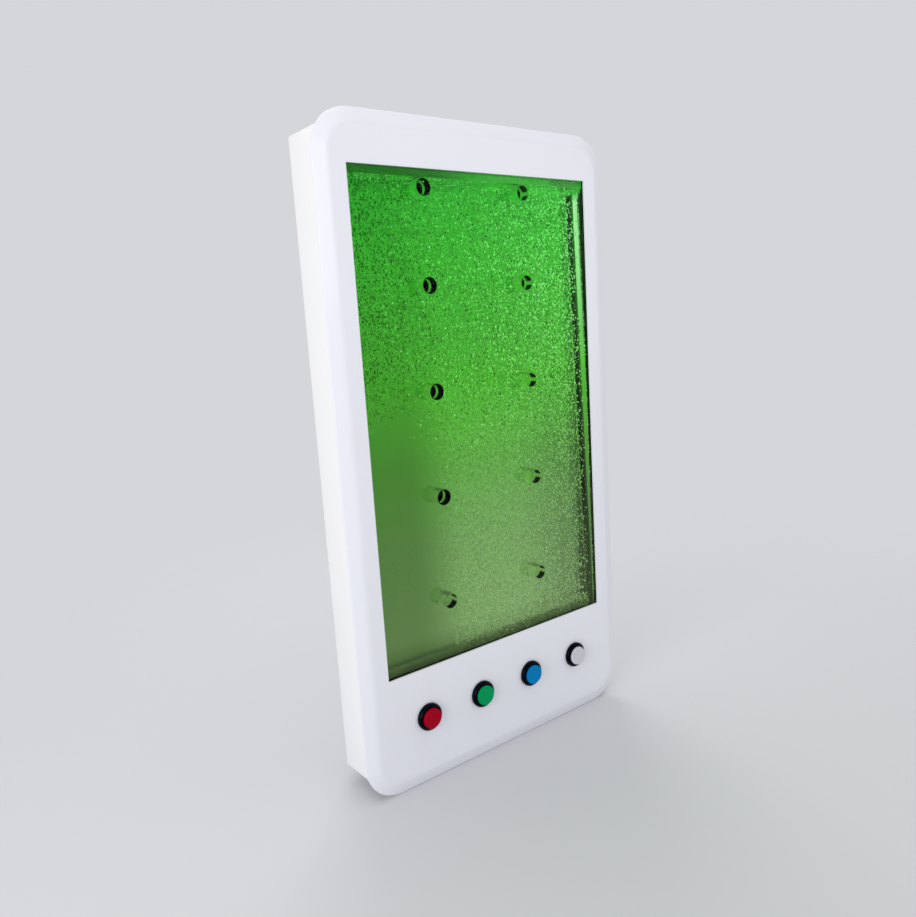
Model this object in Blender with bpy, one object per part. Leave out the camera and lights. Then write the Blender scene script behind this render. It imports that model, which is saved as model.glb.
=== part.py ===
"""Bubble wall panel: a thin lit water tank in a white case that hangs on a wall.

Metres, +Z up. The room is on the -Y side and the wall is the plane y = 0. The
origin is the centre of the wall rail's rear face. Pieces are placed from the
panel's foot, which is the fascia's lowest edge, through one datum empty.
"""

import math

import bmesh
import bpy

# Whole panel
panel_height = 1.200
panel_width = 0.655
panel_depth = 0.130
fit_gap = 0.0003
cut_overrun = 0.003
edge_round = 0.004
small_edge_round = 0.002
round_sides = 24
hole_sides = 32
smooth_angle = math.radians(35)

# Fascia: a plate whose sloped band runs back to a thin rim, pocketed behind for the tank
fascia_wall = 0.004
fascia_corner_radius = 0.078
rim_setback = 0.0085
rim_edge = 0.003
bevel_width = 0.030
bevel_inset_shares = (0.0, 0.67, 0.83, 1.0)
bevel_rise_shares = (0.0, 0.82, 0.95, 1.0)
pocket_clearance = 0.001
corner_steps = 7

# Case of flat boards, set in from the fascia's rim
carcase_inset = 0.0245
board = 0.010
back_board = 0.009
rail_recess = 0.020
shelf_board = 0.012
header_height = 0.030

# Hanging rails with a slope that hooks one behind the other
rail_end_margin = 0.043
wall_rail_height = 0.060
panel_rail_height = 0.060
rail_face_gap = 0.001
rail_slope = math.radians(45)
rail_drop = 0.160

# Tank of clear sheet, its walls and base glued between a front and a rear sheet
tank_side_gap = 0.008
tank_wall = 0.010
tank_sheet = 0.008
window_side_lap = 0.0035
window_foot_lap = 0.0115
window_head_lap = 0.013
gasket_thickness = 0.002
gasket_width = 0.006
gasket_setback = 0.002
reflector_thickness = 0.0015
reflector_packing = 0.0025

# Spacer tubes, rows given from the foot of the window to its head
spacer_radius = 0.015
spacer_wall = 0.004
spacer_spread = 0.230
spacer_row_shares = (0.121, 0.348, 0.568, 0.780, 0.968)

# Air side
bubble_bar = 0.016
fitting_radius = 0.006
fitting_flange_radius = 0.012
fitting_flange = 0.004
check_valve_radius = 0.009
check_valve_neck_radius = 0.005
check_valve_length = 0.030
check_valve_neck_share = 0.2
hose_radius = 0.004
hose_bend = 0.020
hose_lead = 0.004
hose_steps = 6
hose_resolution = 2
pump_length = 0.110
pump_depth = 0.060
pump_height = 0.058
pump_nozzle_length = 0.008
pump_nozzle_share = 0.5
mat_thickness = 0.003
mat_margin = 0.004

# Light
led_channel_width = 0.018
led_channel_height = 0.015
led_channel_wall = 0.0015
led_neck_gap = 0.010
led_setback = 0.012
led_strip_width = 0.012
led_strip_thickness = 0.0016

# Push buttons, at an even pitch that is a share of half the case's inner width
button_names = ("red", "green", "blue", "white")
button_pitch_share = 0.437
bezel_radius = 0.026
bezel_front_radius = 0.0225
bezel_height = 0.010
bezel_chamfer = 0.004
cap_radius = 0.019
cap_proud = 0.0045
cap_thickness = 0.006
cap_edge = 0.001
cap_travel = 0.0035
cap_stop_gap = 0.0005
cap_stem_radius = 0.006
barrel_radius = 0.016
barrel_length = 0.030
nut_radius = 0.028
nut_thickness = 0.008
switch_size = 0.030
switch_depth = 0.020
switch_headroom = 0.032
pump_headroom = 0.008

# Drain
drain_pipe_radius = 0.008
drain_pipe_wall = 0.002
drain_body_radius = 0.014
drain_body_length = 0.036
drain_body_rise = 0.040
drain_tail_drop = 0.012
drain_stem_radius = 0.007
drain_stem_length = 0.006
lever_length = 0.045
lever_width = 0.010
lever_thickness = 0.003
lever_hub_radius = 0.008

# Filler
filler_end_margin = 0.022
filler_setback = 0.022
neck_radius = 0.016
neck_wall = 0.004
neck_stand = 0.006
filler_cap_radius = 0.020
filler_cap_disc = 0.005
filler_plug_length = 0.008
filler_grip_width = 0.007
filler_grip_height = 0.005

# Electrical boxes on the floor of the case
service_side_gap = 0.010
controller_length = 0.100
controller_depth = 0.055
controller_height = 0.030
supply_length = 0.105
supply_depth = 0.055
supply_height = 0.035
inlet_flange_radius = 0.011
inlet_flange = 0.002
inlet_barrel_radius = 0.008
inlet_barrel_length = 0.025
inlet_socket_radius = 0.004
inlet_socket_depth = 0.014

# Places worked out from the sizes: across the panel
carcase_half = panel_width / 2 - carcase_inset
inner_half = carcase_half - board
tank_half = inner_half - tank_side_gap
water_half = tank_half - tank_wall
window_half = water_half - window_side_lap
rail_half = inner_half - rail_end_margin
filler_place = water_half - filler_end_margin
led_half = filler_place - neck_radius - led_neck_gap
button_pitch = inner_half * button_pitch_share

# Places up the panel, from its foot
case_foot = carcase_inset
case_head = panel_height - carcase_inset
case_floor = case_foot + board
case_ceiling = case_head - board
mat_top = case_floor + fit_gap + mat_thickness
pump_top = mat_top + fit_gap + pump_height
button_level = pump_top + pump_headroom + nut_radius
shelf_foot = button_level + nut_radius + switch_headroom
shelf_top = shelf_foot + shelf_board
tank_foot = shelf_top + fit_gap
water_floor = tank_foot + tank_wall
window_foot = water_floor + window_foot_lap
tank_head = case_ceiling - header_height
lid_foot = tank_head - tank_wall
window_head = lid_foot - window_head_lap
rail_level = panel_height - rail_drop

# Places from the room to the wall
front = -panel_depth
fascia_thickness = rim_setback + rim_edge
fascia_back = front + fascia_thickness
case_front = fascia_back + fit_gap
pocket_floor = front + fascia_wall
gasket_front = pocket_floor + fit_gap
gasket_back = gasket_front + gasket_thickness
sheet_front = gasket_back + fit_gap
water_front = sheet_front + tank_sheet
board_front = -rail_recess - back_board
reflector_back = board_front - reflector_packing
rear_sheet_back = reflector_back - reflector_thickness - fit_gap
water_back = rear_sheet_back - tank_sheet
water_middle = (water_front + water_back) / 2

# Places of the services under the tank
riser_place = -button_pitch
drain_place = button_pitch
inlet_place = button_pitch / 2
nozzle_level = mat_top + fit_gap + pump_height * pump_nozzle_share
nozzle_tip = riser_place + hose_bend + hose_lead
check_valve_foot = nozzle_level + hose_bend + hose_lead + fit_gap
check_valve_top = check_valve_foot + check_valve_length
drain_level = case_floor + drain_body_rise
filler_depth = water_back - filler_setback


def clear_scene():
    """Remove every object, so that the script can be run again."""
    for item in list(bpy.data.objects):
        bpy.data.objects.remove(item, do_unlink=True)


def add_datum():
    """Add the empty at the panel's foot that every piece hangs from."""
    datum = bpy.data.objects.new("panel_datum", None)
    datum.location = (0, 0, -rail_level)
    bpy.context.scene.collection.objects.link(datum)
    return datum


def make_material(name, colour, roughness, metallic=0.0, alpha=1.0):
    """Return a plain Principled material."""
    made = bpy.data.materials.new(name)
    made.use_nodes = True
    shader = made.node_tree.nodes["Principled BSDF"]
    shader.inputs["Base Color"].default_value = (*colour, 1.0)
    shader.inputs["Roughness"].default_value = roughness
    shader.inputs["Metallic"].default_value = metallic
    shader.inputs["Alpha"].default_value = alpha
    return made


def make_materials():
    """Return the panel's materials by name."""
    return {
        "white_moulding": make_material("white_moulding", (0.84, 0.84, 0.88), 0.28),
        "white_board": make_material("white_board", (0.88, 0.88, 0.89), 0.45),
        "clear_acrylic": make_material("clear_acrylic", (0.80, 0.95, 0.84), 0.05, alpha=0.35),
        "reflector": make_material("reflector", (0.55, 0.85, 0.50), 0.50),
        "black_plastic": make_material("black_plastic", (0.010, 0.010, 0.012), 0.25),
        "grey_plastic": make_material("grey_plastic", (0.20, 0.21, 0.22), 0.50),
        "rubber": make_material("rubber", (0.03, 0.03, 0.03), 0.80),
        "aluminium": make_material("aluminium", (0.80, 0.80, 0.82), 0.35, 1.0),
        "brass": make_material("brass", (0.72, 0.55, 0.26), 0.35, 1.0),
        "led_strip": make_material("led_strip", (0.90, 0.88, 0.70), 0.50),
        "hose": make_material("hose", (0.75, 0.78, 0.78), 0.30),
        "cap_red": make_material("cap_red", (0.38, 0.002, 0.017), 0.30),
        "cap_green": make_material("cap_green", (0.002, 0.38, 0.12), 0.30),
        "cap_blue": make_material("cap_blue", (0.003, 0.22, 0.58), 0.30),
        "cap_white": make_material("cap_white", (0.62, 0.62, 0.66), 0.30),
    }


def finish_mesh(shape, name, smooth=False):
    """Turn a bmesh into a mesh with its faces pointing out."""
    bmesh.ops.recalc_face_normals(shape, faces=shape.faces)
    mesh = bpy.data.meshes.new(name)
    shape.to_mesh(mesh)
    shape.free()
    if smooth:
        mesh.shade_smooth()
        mesh.set_sharp_from_angle(angle=smooth_angle)
    return mesh


def add_object(name, data, place, material, datum):
    """Link an object that hangs from the datum and wears one material."""
    piece = bpy.data.objects.new(name, data)
    piece.parent = datum
    piece.location = place
    if material is not None:
        piece.data.materials.append(material)
    bpy.context.scene.collection.objects.link(piece)
    return piece


def bridge_rings(name, rings, closed=False, smooth=False):
    """Join rings of points in order, and cap the ends or close the loop."""
    shape = bmesh.new()
    loops = [[shape.verts.new(point) for point in ring] for ring in rings]
    pairs = list(zip(loops, loops[1:]))
    if closed:
        pairs.append((loops[-1], loops[0]))
    else:
        shape.faces.new(loops[0])
        shape.faces.new(loops[-1])
    for low, high in pairs:
        for index, corner in enumerate(low):
            after = (index + 1) % len(low)
            shape.faces.new((corner, low[after], high[after], high[index]))
    return finish_mesh(shape, name, smooth)


def circle(radius, level, sides):
    """Return the points of a circle about the local Z axis."""
    turns = [2 * math.pi * index / sides for index in range(sides)]
    return [(radius * math.cos(turn), radius * math.sin(turn), level) for turn in turns]


def turned_mesh(name, profile, closed=False, sides=round_sides):
    """Turn a profile of (radius, level) points about the local Z axis."""
    rings = [circle(radius, level, sides) for radius, level in profile]
    return bridge_rings(name, rings, closed, smooth=True)


def tube_profile(outer, wall, low, high):
    """Return the closed profile of a straight tube."""
    inner = outer - wall
    return [(outer, low), (outer, high), (inner, high), (inner, low)]


def rod_profile(radius, low, high):
    """Return the open profile of a straight rod."""
    return [(radius, low), (radius, high)]


def slab_mesh(name, span_x, span_y, span_z):
    """Return a box between the given low and high values."""
    low, high = zip(span_x, span_y, span_z)
    rings = []
    for level in (low[2], high[2]):
        rings.append([(low[0], low[1], level), (high[0], low[1], level),
                      (high[0], high[1], level), (low[0], high[1], level)])
    return bridge_rings(name, rings)


def add_slab(name, span_x, span_y, span_z, material, datum):
    """Add a flat board or sheet."""
    return add_object(name, slab_mesh(name, span_x, span_y, span_z), (0, 0, 0), material, datum)


def add_turned(name, profile, place, material, datum, closed=False, sides=round_sides):
    """Add an upright turned piece."""
    mesh = turned_mesh(name, profile, closed, sides)
    return add_object(name, mesh, place, material, datum)


def face_wall(piece):
    """Turn a piece so that its local Z axis points at the wall."""
    piece.rotation_euler = (-math.pi / 2, 0, 0)


def add_profile_bar(name, outline, half_length, material, datum):
    """Extrude a (y, z) outline along X to both sides of the middle."""
    ends = [[(side * half_length, y, z) for y, z in outline] for side in (-1, 1)]
    return add_object(name, bridge_rings(name, ends), (0, 0, 0), material, datum)


def soften(piece, width=edge_round, segments=2):
    """Round a piece's edges."""
    bevel = piece.modifiers.new("edge_round", "BEVEL")
    bevel.width = width
    bevel.segments = segments


def as_tool(piece):
    """Mark an object as a guide for a Boolean, not a piece of the panel."""
    piece.hide_render = True
    piece.display_type = "WIRE"


def boolean(piece, tool, operation):
    """Cut a tool out of a piece, or join it on."""
    step = piece.modifiers.new(operation.lower(), "BOOLEAN")
    step.operation = operation
    step.solver = "EXACT"
    step.object = tool


def upright_hole(name, radius, x, y, low, high, targets, datum):
    """Drill one upright hole through the target boards."""
    profile = rod_profile(radius, low - cut_overrun, high + cut_overrun)
    tool = add_turned(name, profile, (x, y, 0), None, datum, sides=hole_sides)
    as_tool(tool)
    for target in targets:
        boolean(target, tool, "DIFFERENCE")


def rounded_outline(inset, level):
    """Return the fascia's outline, drawn in by an inset, at a given depth."""
    radius = fascia_corner_radius - inset
    reach_x = panel_width / 2 - fascia_corner_radius
    reach_z = panel_height / 2 - fascia_corner_radius
    points = []
    for quarter, (side_x, side_z) in enumerate(((1, 1), (-1, 1), (-1, -1), (1, -1))):
        for step in range(corner_steps + 1):
            turn = (quarter + step / corner_steps) * math.pi / 2
            points.append((side_x * reach_x + radius * math.cos(turn), level,
                           panel_height / 2 + side_z * reach_z + radius * math.sin(turn)))
    return points


def button_places():
    """Return each button's colour name and its place across the panel."""
    middle = (len(button_names) - 1) / 2
    return [(name, (index - middle) * button_pitch) for index, name in enumerate(button_names)]


def add_fascia(materials, datum):
    """Add the front plate with its window, tank pocket and button holes."""
    rim_front = front + rim_setback
    rings = [rounded_outline(0, fascia_back)]
    for inset_share, rise_share in zip(bevel_inset_shares, bevel_rise_shares):
        rings.append(rounded_outline(inset_share * bevel_width, rim_front - rise_share * rim_setback))
    mesh = bridge_rings("fascia", rings, smooth=True)
    fascia = add_object("fascia", mesh, (0, 0, 0), materials["white_moulding"], datum)
    window = add_slab("window_cut", (-window_half, window_half),
                      (front - cut_overrun, fascia_back + cut_overrun),
                      (window_foot, window_head), None, datum)
    pocket = add_slab("pocket_cut", (-tank_half - pocket_clearance, tank_half + pocket_clearance),
                      (pocket_floor, fascia_back + cut_overrun),
                      (tank_foot - pocket_clearance, tank_head + pocket_clearance), None, datum)
    for tool in (window, pocket):
        as_tool(tool)
        boolean(fascia, tool, "DIFFERENCE")
    for name, place in button_places():
        profile = rod_profile(barrel_radius + fit_gap, -cut_overrun, fascia_thickness + cut_overrun)
        tool = add_turned(f"button_hole_{name}", profile, (place, front, button_level), None, datum)
        face_wall(tool)
        as_tool(tool)
        boolean(fascia, tool, "DIFFERENCE")


def add_case(materials, datum):
    """Add the case boards: sides, top, bottom and back."""
    white = materials["white_board"]
    depth = (case_front, 0)
    across = (-inner_half + fit_gap, inner_half - fit_gap)
    add_slab("case_left", (-carcase_half, -inner_half), depth, (case_foot, case_head), white, datum)
    add_slab("case_right", (inner_half, carcase_half), depth, (case_foot, case_head), white, datum)
    bottom = add_slab("case_bottom", across, depth, (case_foot, case_floor), white, datum)
    top = add_slab("case_top", across, depth, (case_ceiling, case_head), white, datum)
    add_slab("back_panel", across, (board_front, -rail_recess),
             (case_floor + fit_gap, case_ceiling - fit_gap), white, datum)
    shelf = add_slab("tank_shelf", across, (case_front, board_front - fit_gap),
                     (shelf_foot, shelf_top), white, datum)
    return top, bottom, shelf


def add_rails(materials, datum):
    """Add the rail on the wall and the rail on the panel that hooks over it."""
    half = wall_rail_height / 2
    wall_face = -(rail_recess - rail_face_gap)
    rise = -wall_face * math.tan(rail_slope)
    wall_outline = [(0, -half), (0, half), (wall_face, half + rise), (wall_face, -half)]
    panel_face = -rail_recess + fit_gap
    hook_gap = fit_gap / math.cos(rail_slope)
    low_rear = half + hook_gap + rail_face_gap * math.tan(rail_slope)
    low_front = half + hook_gap - panel_face * math.tan(rail_slope)
    top = half + panel_rail_height
    panel_outline = [(-rail_face_gap, low_rear), (-rail_face_gap, top),
                     (panel_face, top), (panel_face, low_front)]
    for name, outline in (("wall_rail", wall_outline), ("panel_rail", panel_outline)):
        lifted = [(y, rail_level + z) for y, z in outline]
        add_profile_bar(name, lifted, rail_half, materials["aluminium"], datum)


def add_tank(materials, datum):
    """Add the tank's sheets, walls, base and lid."""
    clear = materials["clear_acrylic"]
    across = (-tank_half, tank_half)
    upright = (tank_foot, tank_head)
    between = (water_front + fit_gap, water_back - fit_gap)
    inside = (-water_half + fit_gap, water_half - fit_gap)
    add_slab("tank_front_sheet", across, (sheet_front, water_front), upright, clear, datum)
    add_slab("tank_rear_sheet", across, (water_back, rear_sheet_back), upright, clear, datum)
    add_slab("tank_left_wall", (-tank_half, -water_half), between, upright, clear, datum)
    add_slab("tank_right_wall", (water_half, tank_half), between, upright, clear, datum)
    base = add_slab("tank_base", inside, between, (tank_foot, water_floor), clear, datum)
    lid = add_slab("tank_lid", inside, between, (lid_foot, tank_head), clear, datum)
    add_slab("reflector_sheet", across, (rear_sheet_back + fit_gap, reflector_back), upright,
             materials["reflector"], datum)
    return base, lid


def add_gasket(materials, datum):
    """Add the soft frame between the fascia and the tank's front sheet."""
    inner = (window_half + gasket_setback, window_foot - gasket_setback, window_head + gasket_setback)
    outer = (inner[0] + gasket_width, inner[1] - gasket_width, inner[2] + gasket_width)
    rings = []
    for (half, low, high), level in ((outer, gasket_front), (outer, gasket_back),
                                     (inner, gasket_back), (inner, gasket_front)):
        rings.append([(-half, level, low), (half, level, low), (half, level, high), (-half, level, high)])
    mesh = bridge_rings("window_gasket", rings, closed=True)
    add_object("window_gasket", mesh, (0, 0, 0), materials["rubber"], datum)


def add_spacers(materials, datum):
    """Add the tubes that hold the tank's two sheets apart."""
    length = water_back - water_front - fit_gap - fit_gap
    profile = tube_profile(spacer_radius, spacer_wall, 0, length)
    mesh = turned_mesh("spacer_tube", profile, closed=True)
    for side, place in (("left", -spacer_spread / 2), ("right", spacer_spread / 2)):
        for row, share in enumerate(spacer_row_shares, start=1):
            level = window_foot + share * (window_head - window_foot)
            copy = mesh.copy()
            tube = add_object(f"spacer_tube_{side}_{row}", copy, (place, water_front + fit_gap, level),
                              materials["clear_acrylic"], datum)
            face_wall(tube)


def add_air_side(base, shelf, materials, datum):
    """Add the bubble bar, its fitting and check valve, the hose and the pump."""
    half = bubble_bar / 2
    bar = add_slab("bubble_bar", (-water_half + fit_gap, water_half - fit_gap),
                   (water_middle - half, water_middle + half),
                   (water_floor + fit_gap, water_floor + bubble_bar), materials["grey_plastic"], datum)
    soften(bar, small_edge_round, 1)
    flange_top = shelf_foot - fit_gap
    upright_hole("air_riser_hole", fitting_radius + fit_gap, riser_place, water_middle,
                 shelf_foot, water_floor, (shelf, base), datum)
    fitting = [(fitting_radius, check_valve_top + fit_gap),
               (fitting_radius, flange_top - fitting_flange),
               (fitting_flange_radius, flange_top - fitting_flange),
               (fitting_flange_radius, flange_top),
               (fitting_radius, flange_top), (fitting_radius, water_floor)]
    add_turned("air_fitting", fitting, (riser_place, water_middle, 0), materials["brass"], datum)
    neck = check_valve_length * check_valve_neck_share
    valve = [(check_valve_neck_radius, check_valve_foot), (check_valve_neck_radius, check_valve_foot + neck),
             (check_valve_radius, check_valve_foot + neck), (check_valve_radius, check_valve_top - neck),
             (check_valve_neck_radius, check_valve_top - neck), (check_valve_neck_radius, check_valve_top)]
    add_turned("check_valve", valve, (riser_place, water_middle, 0), materials["grey_plastic"], datum)
    add_hose(materials, datum)
    add_pump(materials, datum)


def add_hose(materials, datum):
    """Add the hose that leaves the pump level and turns up to the check valve."""
    points = [(nozzle_tip, nozzle_level)]
    for step in range(hose_steps + 1):
        turn = math.pi / 2 * step / hose_steps
        points.append((riser_place + hose_bend * (1 - math.sin(turn)),
                       nozzle_level + hose_bend * (1 - math.cos(turn))))
    points.append((riser_place, nozzle_level + hose_bend + hose_lead))
    route = bpy.data.curves.new("air_hose", "CURVE")
    route.dimensions = "3D"
    route.bevel_depth = hose_radius
    route.bevel_resolution = hose_resolution
    route.use_fill_caps = True
    line = route.splines.new("POLY")
    line.points.add(len(points) - 1)
    for knot, (x, z) in zip(line.points, points):
        knot.co = (x, water_middle, z, 1)
    add_object("air_hose", route, (0, 0, 0), materials["hose"], datum)


def add_pump(materials, datum):
    """Add the air pump with its nozzle, on a rubber mat."""
    left = nozzle_tip + fit_gap + pump_nozzle_length
    depth = (water_middle - pump_depth / 2, water_middle + pump_depth / 2)
    low = mat_top + fit_gap
    pump = add_slab("air_pump", (left, left + pump_length), depth, (low, low + pump_height),
                    materials["black_plastic"], datum)
    soften(pump)
    profile = rod_profile(hose_radius, nozzle_tip + fit_gap, left + pump_nozzle_length)
    nozzle = add_turned("pump_nozzle", profile, (0, water_middle, nozzle_level), None, datum)
    nozzle.rotation_euler = (0, math.pi / 2, 0)
    as_tool(nozzle)
    boolean(pump, nozzle, "UNION")
    add_slab("pump_mat", (left + mat_margin, left + pump_length - mat_margin),
             (depth[0] + mat_margin, depth[1] - mat_margin), (case_floor + fit_gap, mat_top),
             materials["rubber"], datum)


def add_light(materials, datum):
    """Add the channel under the case top and the strip of lamps in it."""
    middle = water_front + led_setback
    top = case_ceiling - fit_gap
    half = led_channel_width / 2
    foot = top - led_channel_height
    bore_half = half - led_channel_wall
    roof = top - led_channel_wall
    outline = [(-half, foot), (-half, top), (half, top), (half, foot),
               (bore_half, foot), (bore_half, roof), (-bore_half, roof), (-bore_half, foot)]
    placed = [(middle + y, z) for y, z in outline]
    add_profile_bar("led_channel", placed, led_half, materials["aluminium"], datum)
    strip_top = roof - fit_gap
    add_slab("led_strip", (-led_half, led_half),
             (middle - led_strip_width / 2, middle + led_strip_width / 2),
             (strip_top - led_strip_thickness, strip_top), materials["led_strip"], datum)


def bezel_profile():
    """Return a bezel's closed profile, from the fascia's front plane at zero."""
    nose = -bezel_height
    floor = nose - cap_proud + cap_thickness + cap_travel + cap_stop_gap
    recess = cap_radius + fit_gap
    bore = cap_stem_radius + fit_gap
    return [(barrel_radius, -fit_gap), (bezel_radius, -fit_gap), (bezel_radius, nose + bezel_chamfer),
            (bezel_front_radius, nose), (recess, nose), (recess, floor), (bore, floor),
            (bore, barrel_length), (barrel_radius, barrel_length)]


def cap_profile():
    """Return a cap's open profile, from the fascia's front plane at zero."""
    nose = -bezel_height - cap_proud
    stem_end = barrel_length + fit_gap - cap_travel - cap_stop_gap
    return [(cap_radius - cap_edge, nose), (cap_radius, nose + cap_edge),
            (cap_radius, nose + cap_thickness), (cap_stem_radius, nose + cap_thickness),
            (cap_stem_radius, stem_end)]


def add_button(name, place, materials, datum):
    """Add one push button: bezel, moving cap, nut and switch body."""
    axis = (place, front, button_level)
    black = materials["black_plastic"]
    bezel = add_turned(f"button_bezel_{name}", bezel_profile(), axis, black, datum, closed=True)
    cap = add_turned(f"button_cap_{name}", cap_profile(), axis, materials[f"cap_{name}"], datum)
    near = fascia_thickness + fit_gap
    nut_rings = tube_profile(nut_radius, nut_radius - barrel_radius - fit_gap, near, near + nut_thickness)
    nut = add_turned(f"button_nut_{name}", nut_rings, axis, materials["grey_plastic"], datum, closed=True)
    for piece in (bezel, cap, nut):
        face_wall(piece)
    half = switch_size / 2
    near = barrel_length + fit_gap
    mesh = slab_mesh(f"button_switch_{name}", (-half, half), (near, near + switch_depth), (-half, half))
    switch = add_object(f"button_switch_{name}", mesh, axis, black, datum)
    soften(switch, small_edge_round, 1)


def add_drain(base, shelf, bottom, materials, datum):
    """Add the drain pipe, its valve with a tail through the case, and the lever."""
    axis = (drain_place, water_middle, 0)
    upright_hole("drain_riser_hole", drain_pipe_radius + fit_gap, drain_place, water_middle,
                 shelf_foot, water_floor, (shelf, base), datum)
    upright_hole("drain_tail_hole", drain_pipe_radius + fit_gap, drain_place, water_middle,
                 case_foot, case_floor, (bottom,), datum)
    body_top = drain_level + drain_body_length / 2
    body_foot = drain_level - drain_body_length / 2
    pipe = tube_profile(drain_pipe_radius, drain_pipe_wall, body_top + fit_gap, water_floor)
    add_turned("drain_pipe", pipe, axis, materials["grey_plastic"], datum, closed=True)
    body = [(drain_pipe_radius, case_foot - drain_tail_drop), (drain_pipe_radius, body_foot),
            (drain_body_radius, body_foot), (drain_body_radius, body_top)]
    valve = add_turned("drain_valve", body, axis, materials["brass"], datum)
    stem_face = water_middle - drain_body_radius - drain_stem_length
    stem = add_turned("valve_stem", rod_profile(drain_stem_radius, 0, drain_stem_length + drain_body_radius),
                      (drain_place, stem_face, drain_level), None, datum)
    face_wall(stem)
    as_tool(stem)
    boolean(valve, stem, "UNION")
    pivot = (drain_place, stem_face - fit_gap, drain_level)
    half = lever_width / 2
    arm = slab_mesh("drain_lever", (0, lever_length), (-lever_thickness, 0), (-half, half))
    lever = add_object("drain_lever", arm, pivot, materials["cap_red"], datum)
    hub = add_turned("lever_hub", rod_profile(lever_hub_radius, -lever_thickness, 0), pivot, None, datum)
    face_wall(hub)
    as_tool(hub)
    boolean(lever, hub, "UNION")


def add_filler(lid, top, materials, datum):
    """Add the filler neck through the case top and its quarter-turn cap."""
    rim = case_head + neck_stand
    upright_hole("neck_hole", neck_radius + fit_gap, filler_place, filler_depth,
                 case_ceiling, case_head, (top,), datum)
    upright_hole("filler_hole", neck_radius - neck_wall, filler_place, filler_depth,
                 lid_foot, tank_head, (lid,), datum)
    neck = tube_profile(neck_radius, neck_wall, tank_head + fit_gap, rim)
    add_turned("filler_neck", neck, (filler_place, filler_depth, 0), materials["clear_acrylic"],
               datum, closed=True)
    plug_radius = neck_radius - neck_wall - fit_gap
    cap_rings = [(plug_radius, fit_gap - filler_plug_length), (plug_radius, fit_gap),
                 (filler_cap_radius, fit_gap), (filler_cap_radius, fit_gap + filler_cap_disc)]
    pivot = (filler_place, filler_depth, rim)
    cap = add_turned("filler_cap", cap_rings, pivot, materials["black_plastic"], datum)
    reach = filler_cap_radius - edge_round
    half = filler_grip_width / 2
    disc_top = fit_gap + filler_cap_disc
    disc_middle = disc_top - filler_cap_disc / 2
    grip_mesh = slab_mesh("filler_grip", (-reach, reach), (-half, half),
                          (disc_middle, disc_top + filler_grip_height))
    grip = add_object("filler_grip", grip_mesh, pivot, None, datum)
    as_tool(grip)
    boolean(cap, grip, "UNION")


def add_electrics(bottom, materials, datum):
    """Add the power supply, the controller and the power inlet."""
    low = case_floor + fit_gap
    right = inner_half - service_side_gap
    controller = add_slab("controller", (right - controller_length, right),
                          (water_middle - controller_depth / 2, water_middle + controller_depth / 2),
                          (low, low + controller_height), materials["grey_plastic"], datum)
    supply = add_slab("power_supply", (-right, -right + supply_length),
                      (water_middle - supply_depth / 2, water_middle + supply_depth / 2),
                      (low, low + supply_height), materials["black_plastic"], datum)
    for box in (controller, supply):
        soften(box, small_edge_round, 1)
    upright_hole("inlet_hole", inlet_barrel_radius + fit_gap, inlet_place, water_middle,
                 case_foot, case_floor, (bottom,), datum)
    face = -fit_gap - inlet_flange
    inlet = [(inlet_socket_radius, face + inlet_socket_depth), (inlet_socket_radius, face),
             (inlet_flange_radius, face), (inlet_flange_radius, -fit_gap),
             (inlet_barrel_radius, -fit_gap), (inlet_barrel_radius, inlet_barrel_length)]
    add_turned("power_inlet", inlet, (inlet_place, water_middle, case_foot), materials["black_plastic"],
               datum)


def main():
    """Build the whole panel."""
    clear_scene()
    datum = add_datum()
    materials = make_materials()
    add_fascia(materials, datum)
    top, bottom, shelf = add_case(materials, datum)
    add_rails(materials, datum)
    base, lid = add_tank(materials, datum)
    add_gasket(materials, datum)
    add_spacers(materials, datum)
    add_air_side(base, shelf, materials, datum)
    add_light(materials, datum)
    for name, place in button_places():
        add_button(name, place, materials, datum)
    add_drain(base, shelf, bottom, materials, datum)
    add_filler(lid, top, materials, datum)
    add_electrics(bottom, materials, datum)


if __name__ == "__main__":
    main()
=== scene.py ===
"""Looks of a bubble wall panel: a thin lit water tank in a white case, with four push buttons.

Metres, +Z up, the room on the -Y side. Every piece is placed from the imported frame.
"""

import math
import random

import bmesh
import bpy
from mathutils import Matrix, Vector


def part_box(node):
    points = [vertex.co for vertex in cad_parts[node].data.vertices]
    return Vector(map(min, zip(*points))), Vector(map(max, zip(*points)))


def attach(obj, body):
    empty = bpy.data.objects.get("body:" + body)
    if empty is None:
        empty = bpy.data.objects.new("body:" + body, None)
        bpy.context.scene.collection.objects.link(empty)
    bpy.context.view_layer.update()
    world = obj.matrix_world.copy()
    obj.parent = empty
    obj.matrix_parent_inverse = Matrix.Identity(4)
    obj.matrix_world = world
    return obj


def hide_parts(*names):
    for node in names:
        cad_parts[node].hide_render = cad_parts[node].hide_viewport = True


bl_info = {
    "name": "Bubble Wall Panel",
    "version": (1, 0, 0),
    "blender": (4, 5, 0),
    "location": "View3D > Sidebar > Bubble Panel",
    "description": "Builds the finished pieces of a lit bubble wall panel round its frame",
    "category": "Add Mesh",
}

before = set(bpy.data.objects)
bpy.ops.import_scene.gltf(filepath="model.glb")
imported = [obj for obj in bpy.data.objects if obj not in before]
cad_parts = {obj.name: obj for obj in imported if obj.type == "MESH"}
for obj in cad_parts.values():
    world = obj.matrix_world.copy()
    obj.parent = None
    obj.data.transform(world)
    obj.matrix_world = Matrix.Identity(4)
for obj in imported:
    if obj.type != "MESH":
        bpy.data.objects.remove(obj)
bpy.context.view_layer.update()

mm = 0.001
case = "panel"

# How far a loose part keeps off its neighbour, and how far a cutter reaches past a face
snug = 0.3 * mm
cut_reach = 3 * mm

# From which turn on an edge stays sharp, is rounded, or stays sharp on a carved piece
sharp_turn = math.radians(28)
edge_turn = math.radians(40)
carved_turn = math.radians(20)

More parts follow.
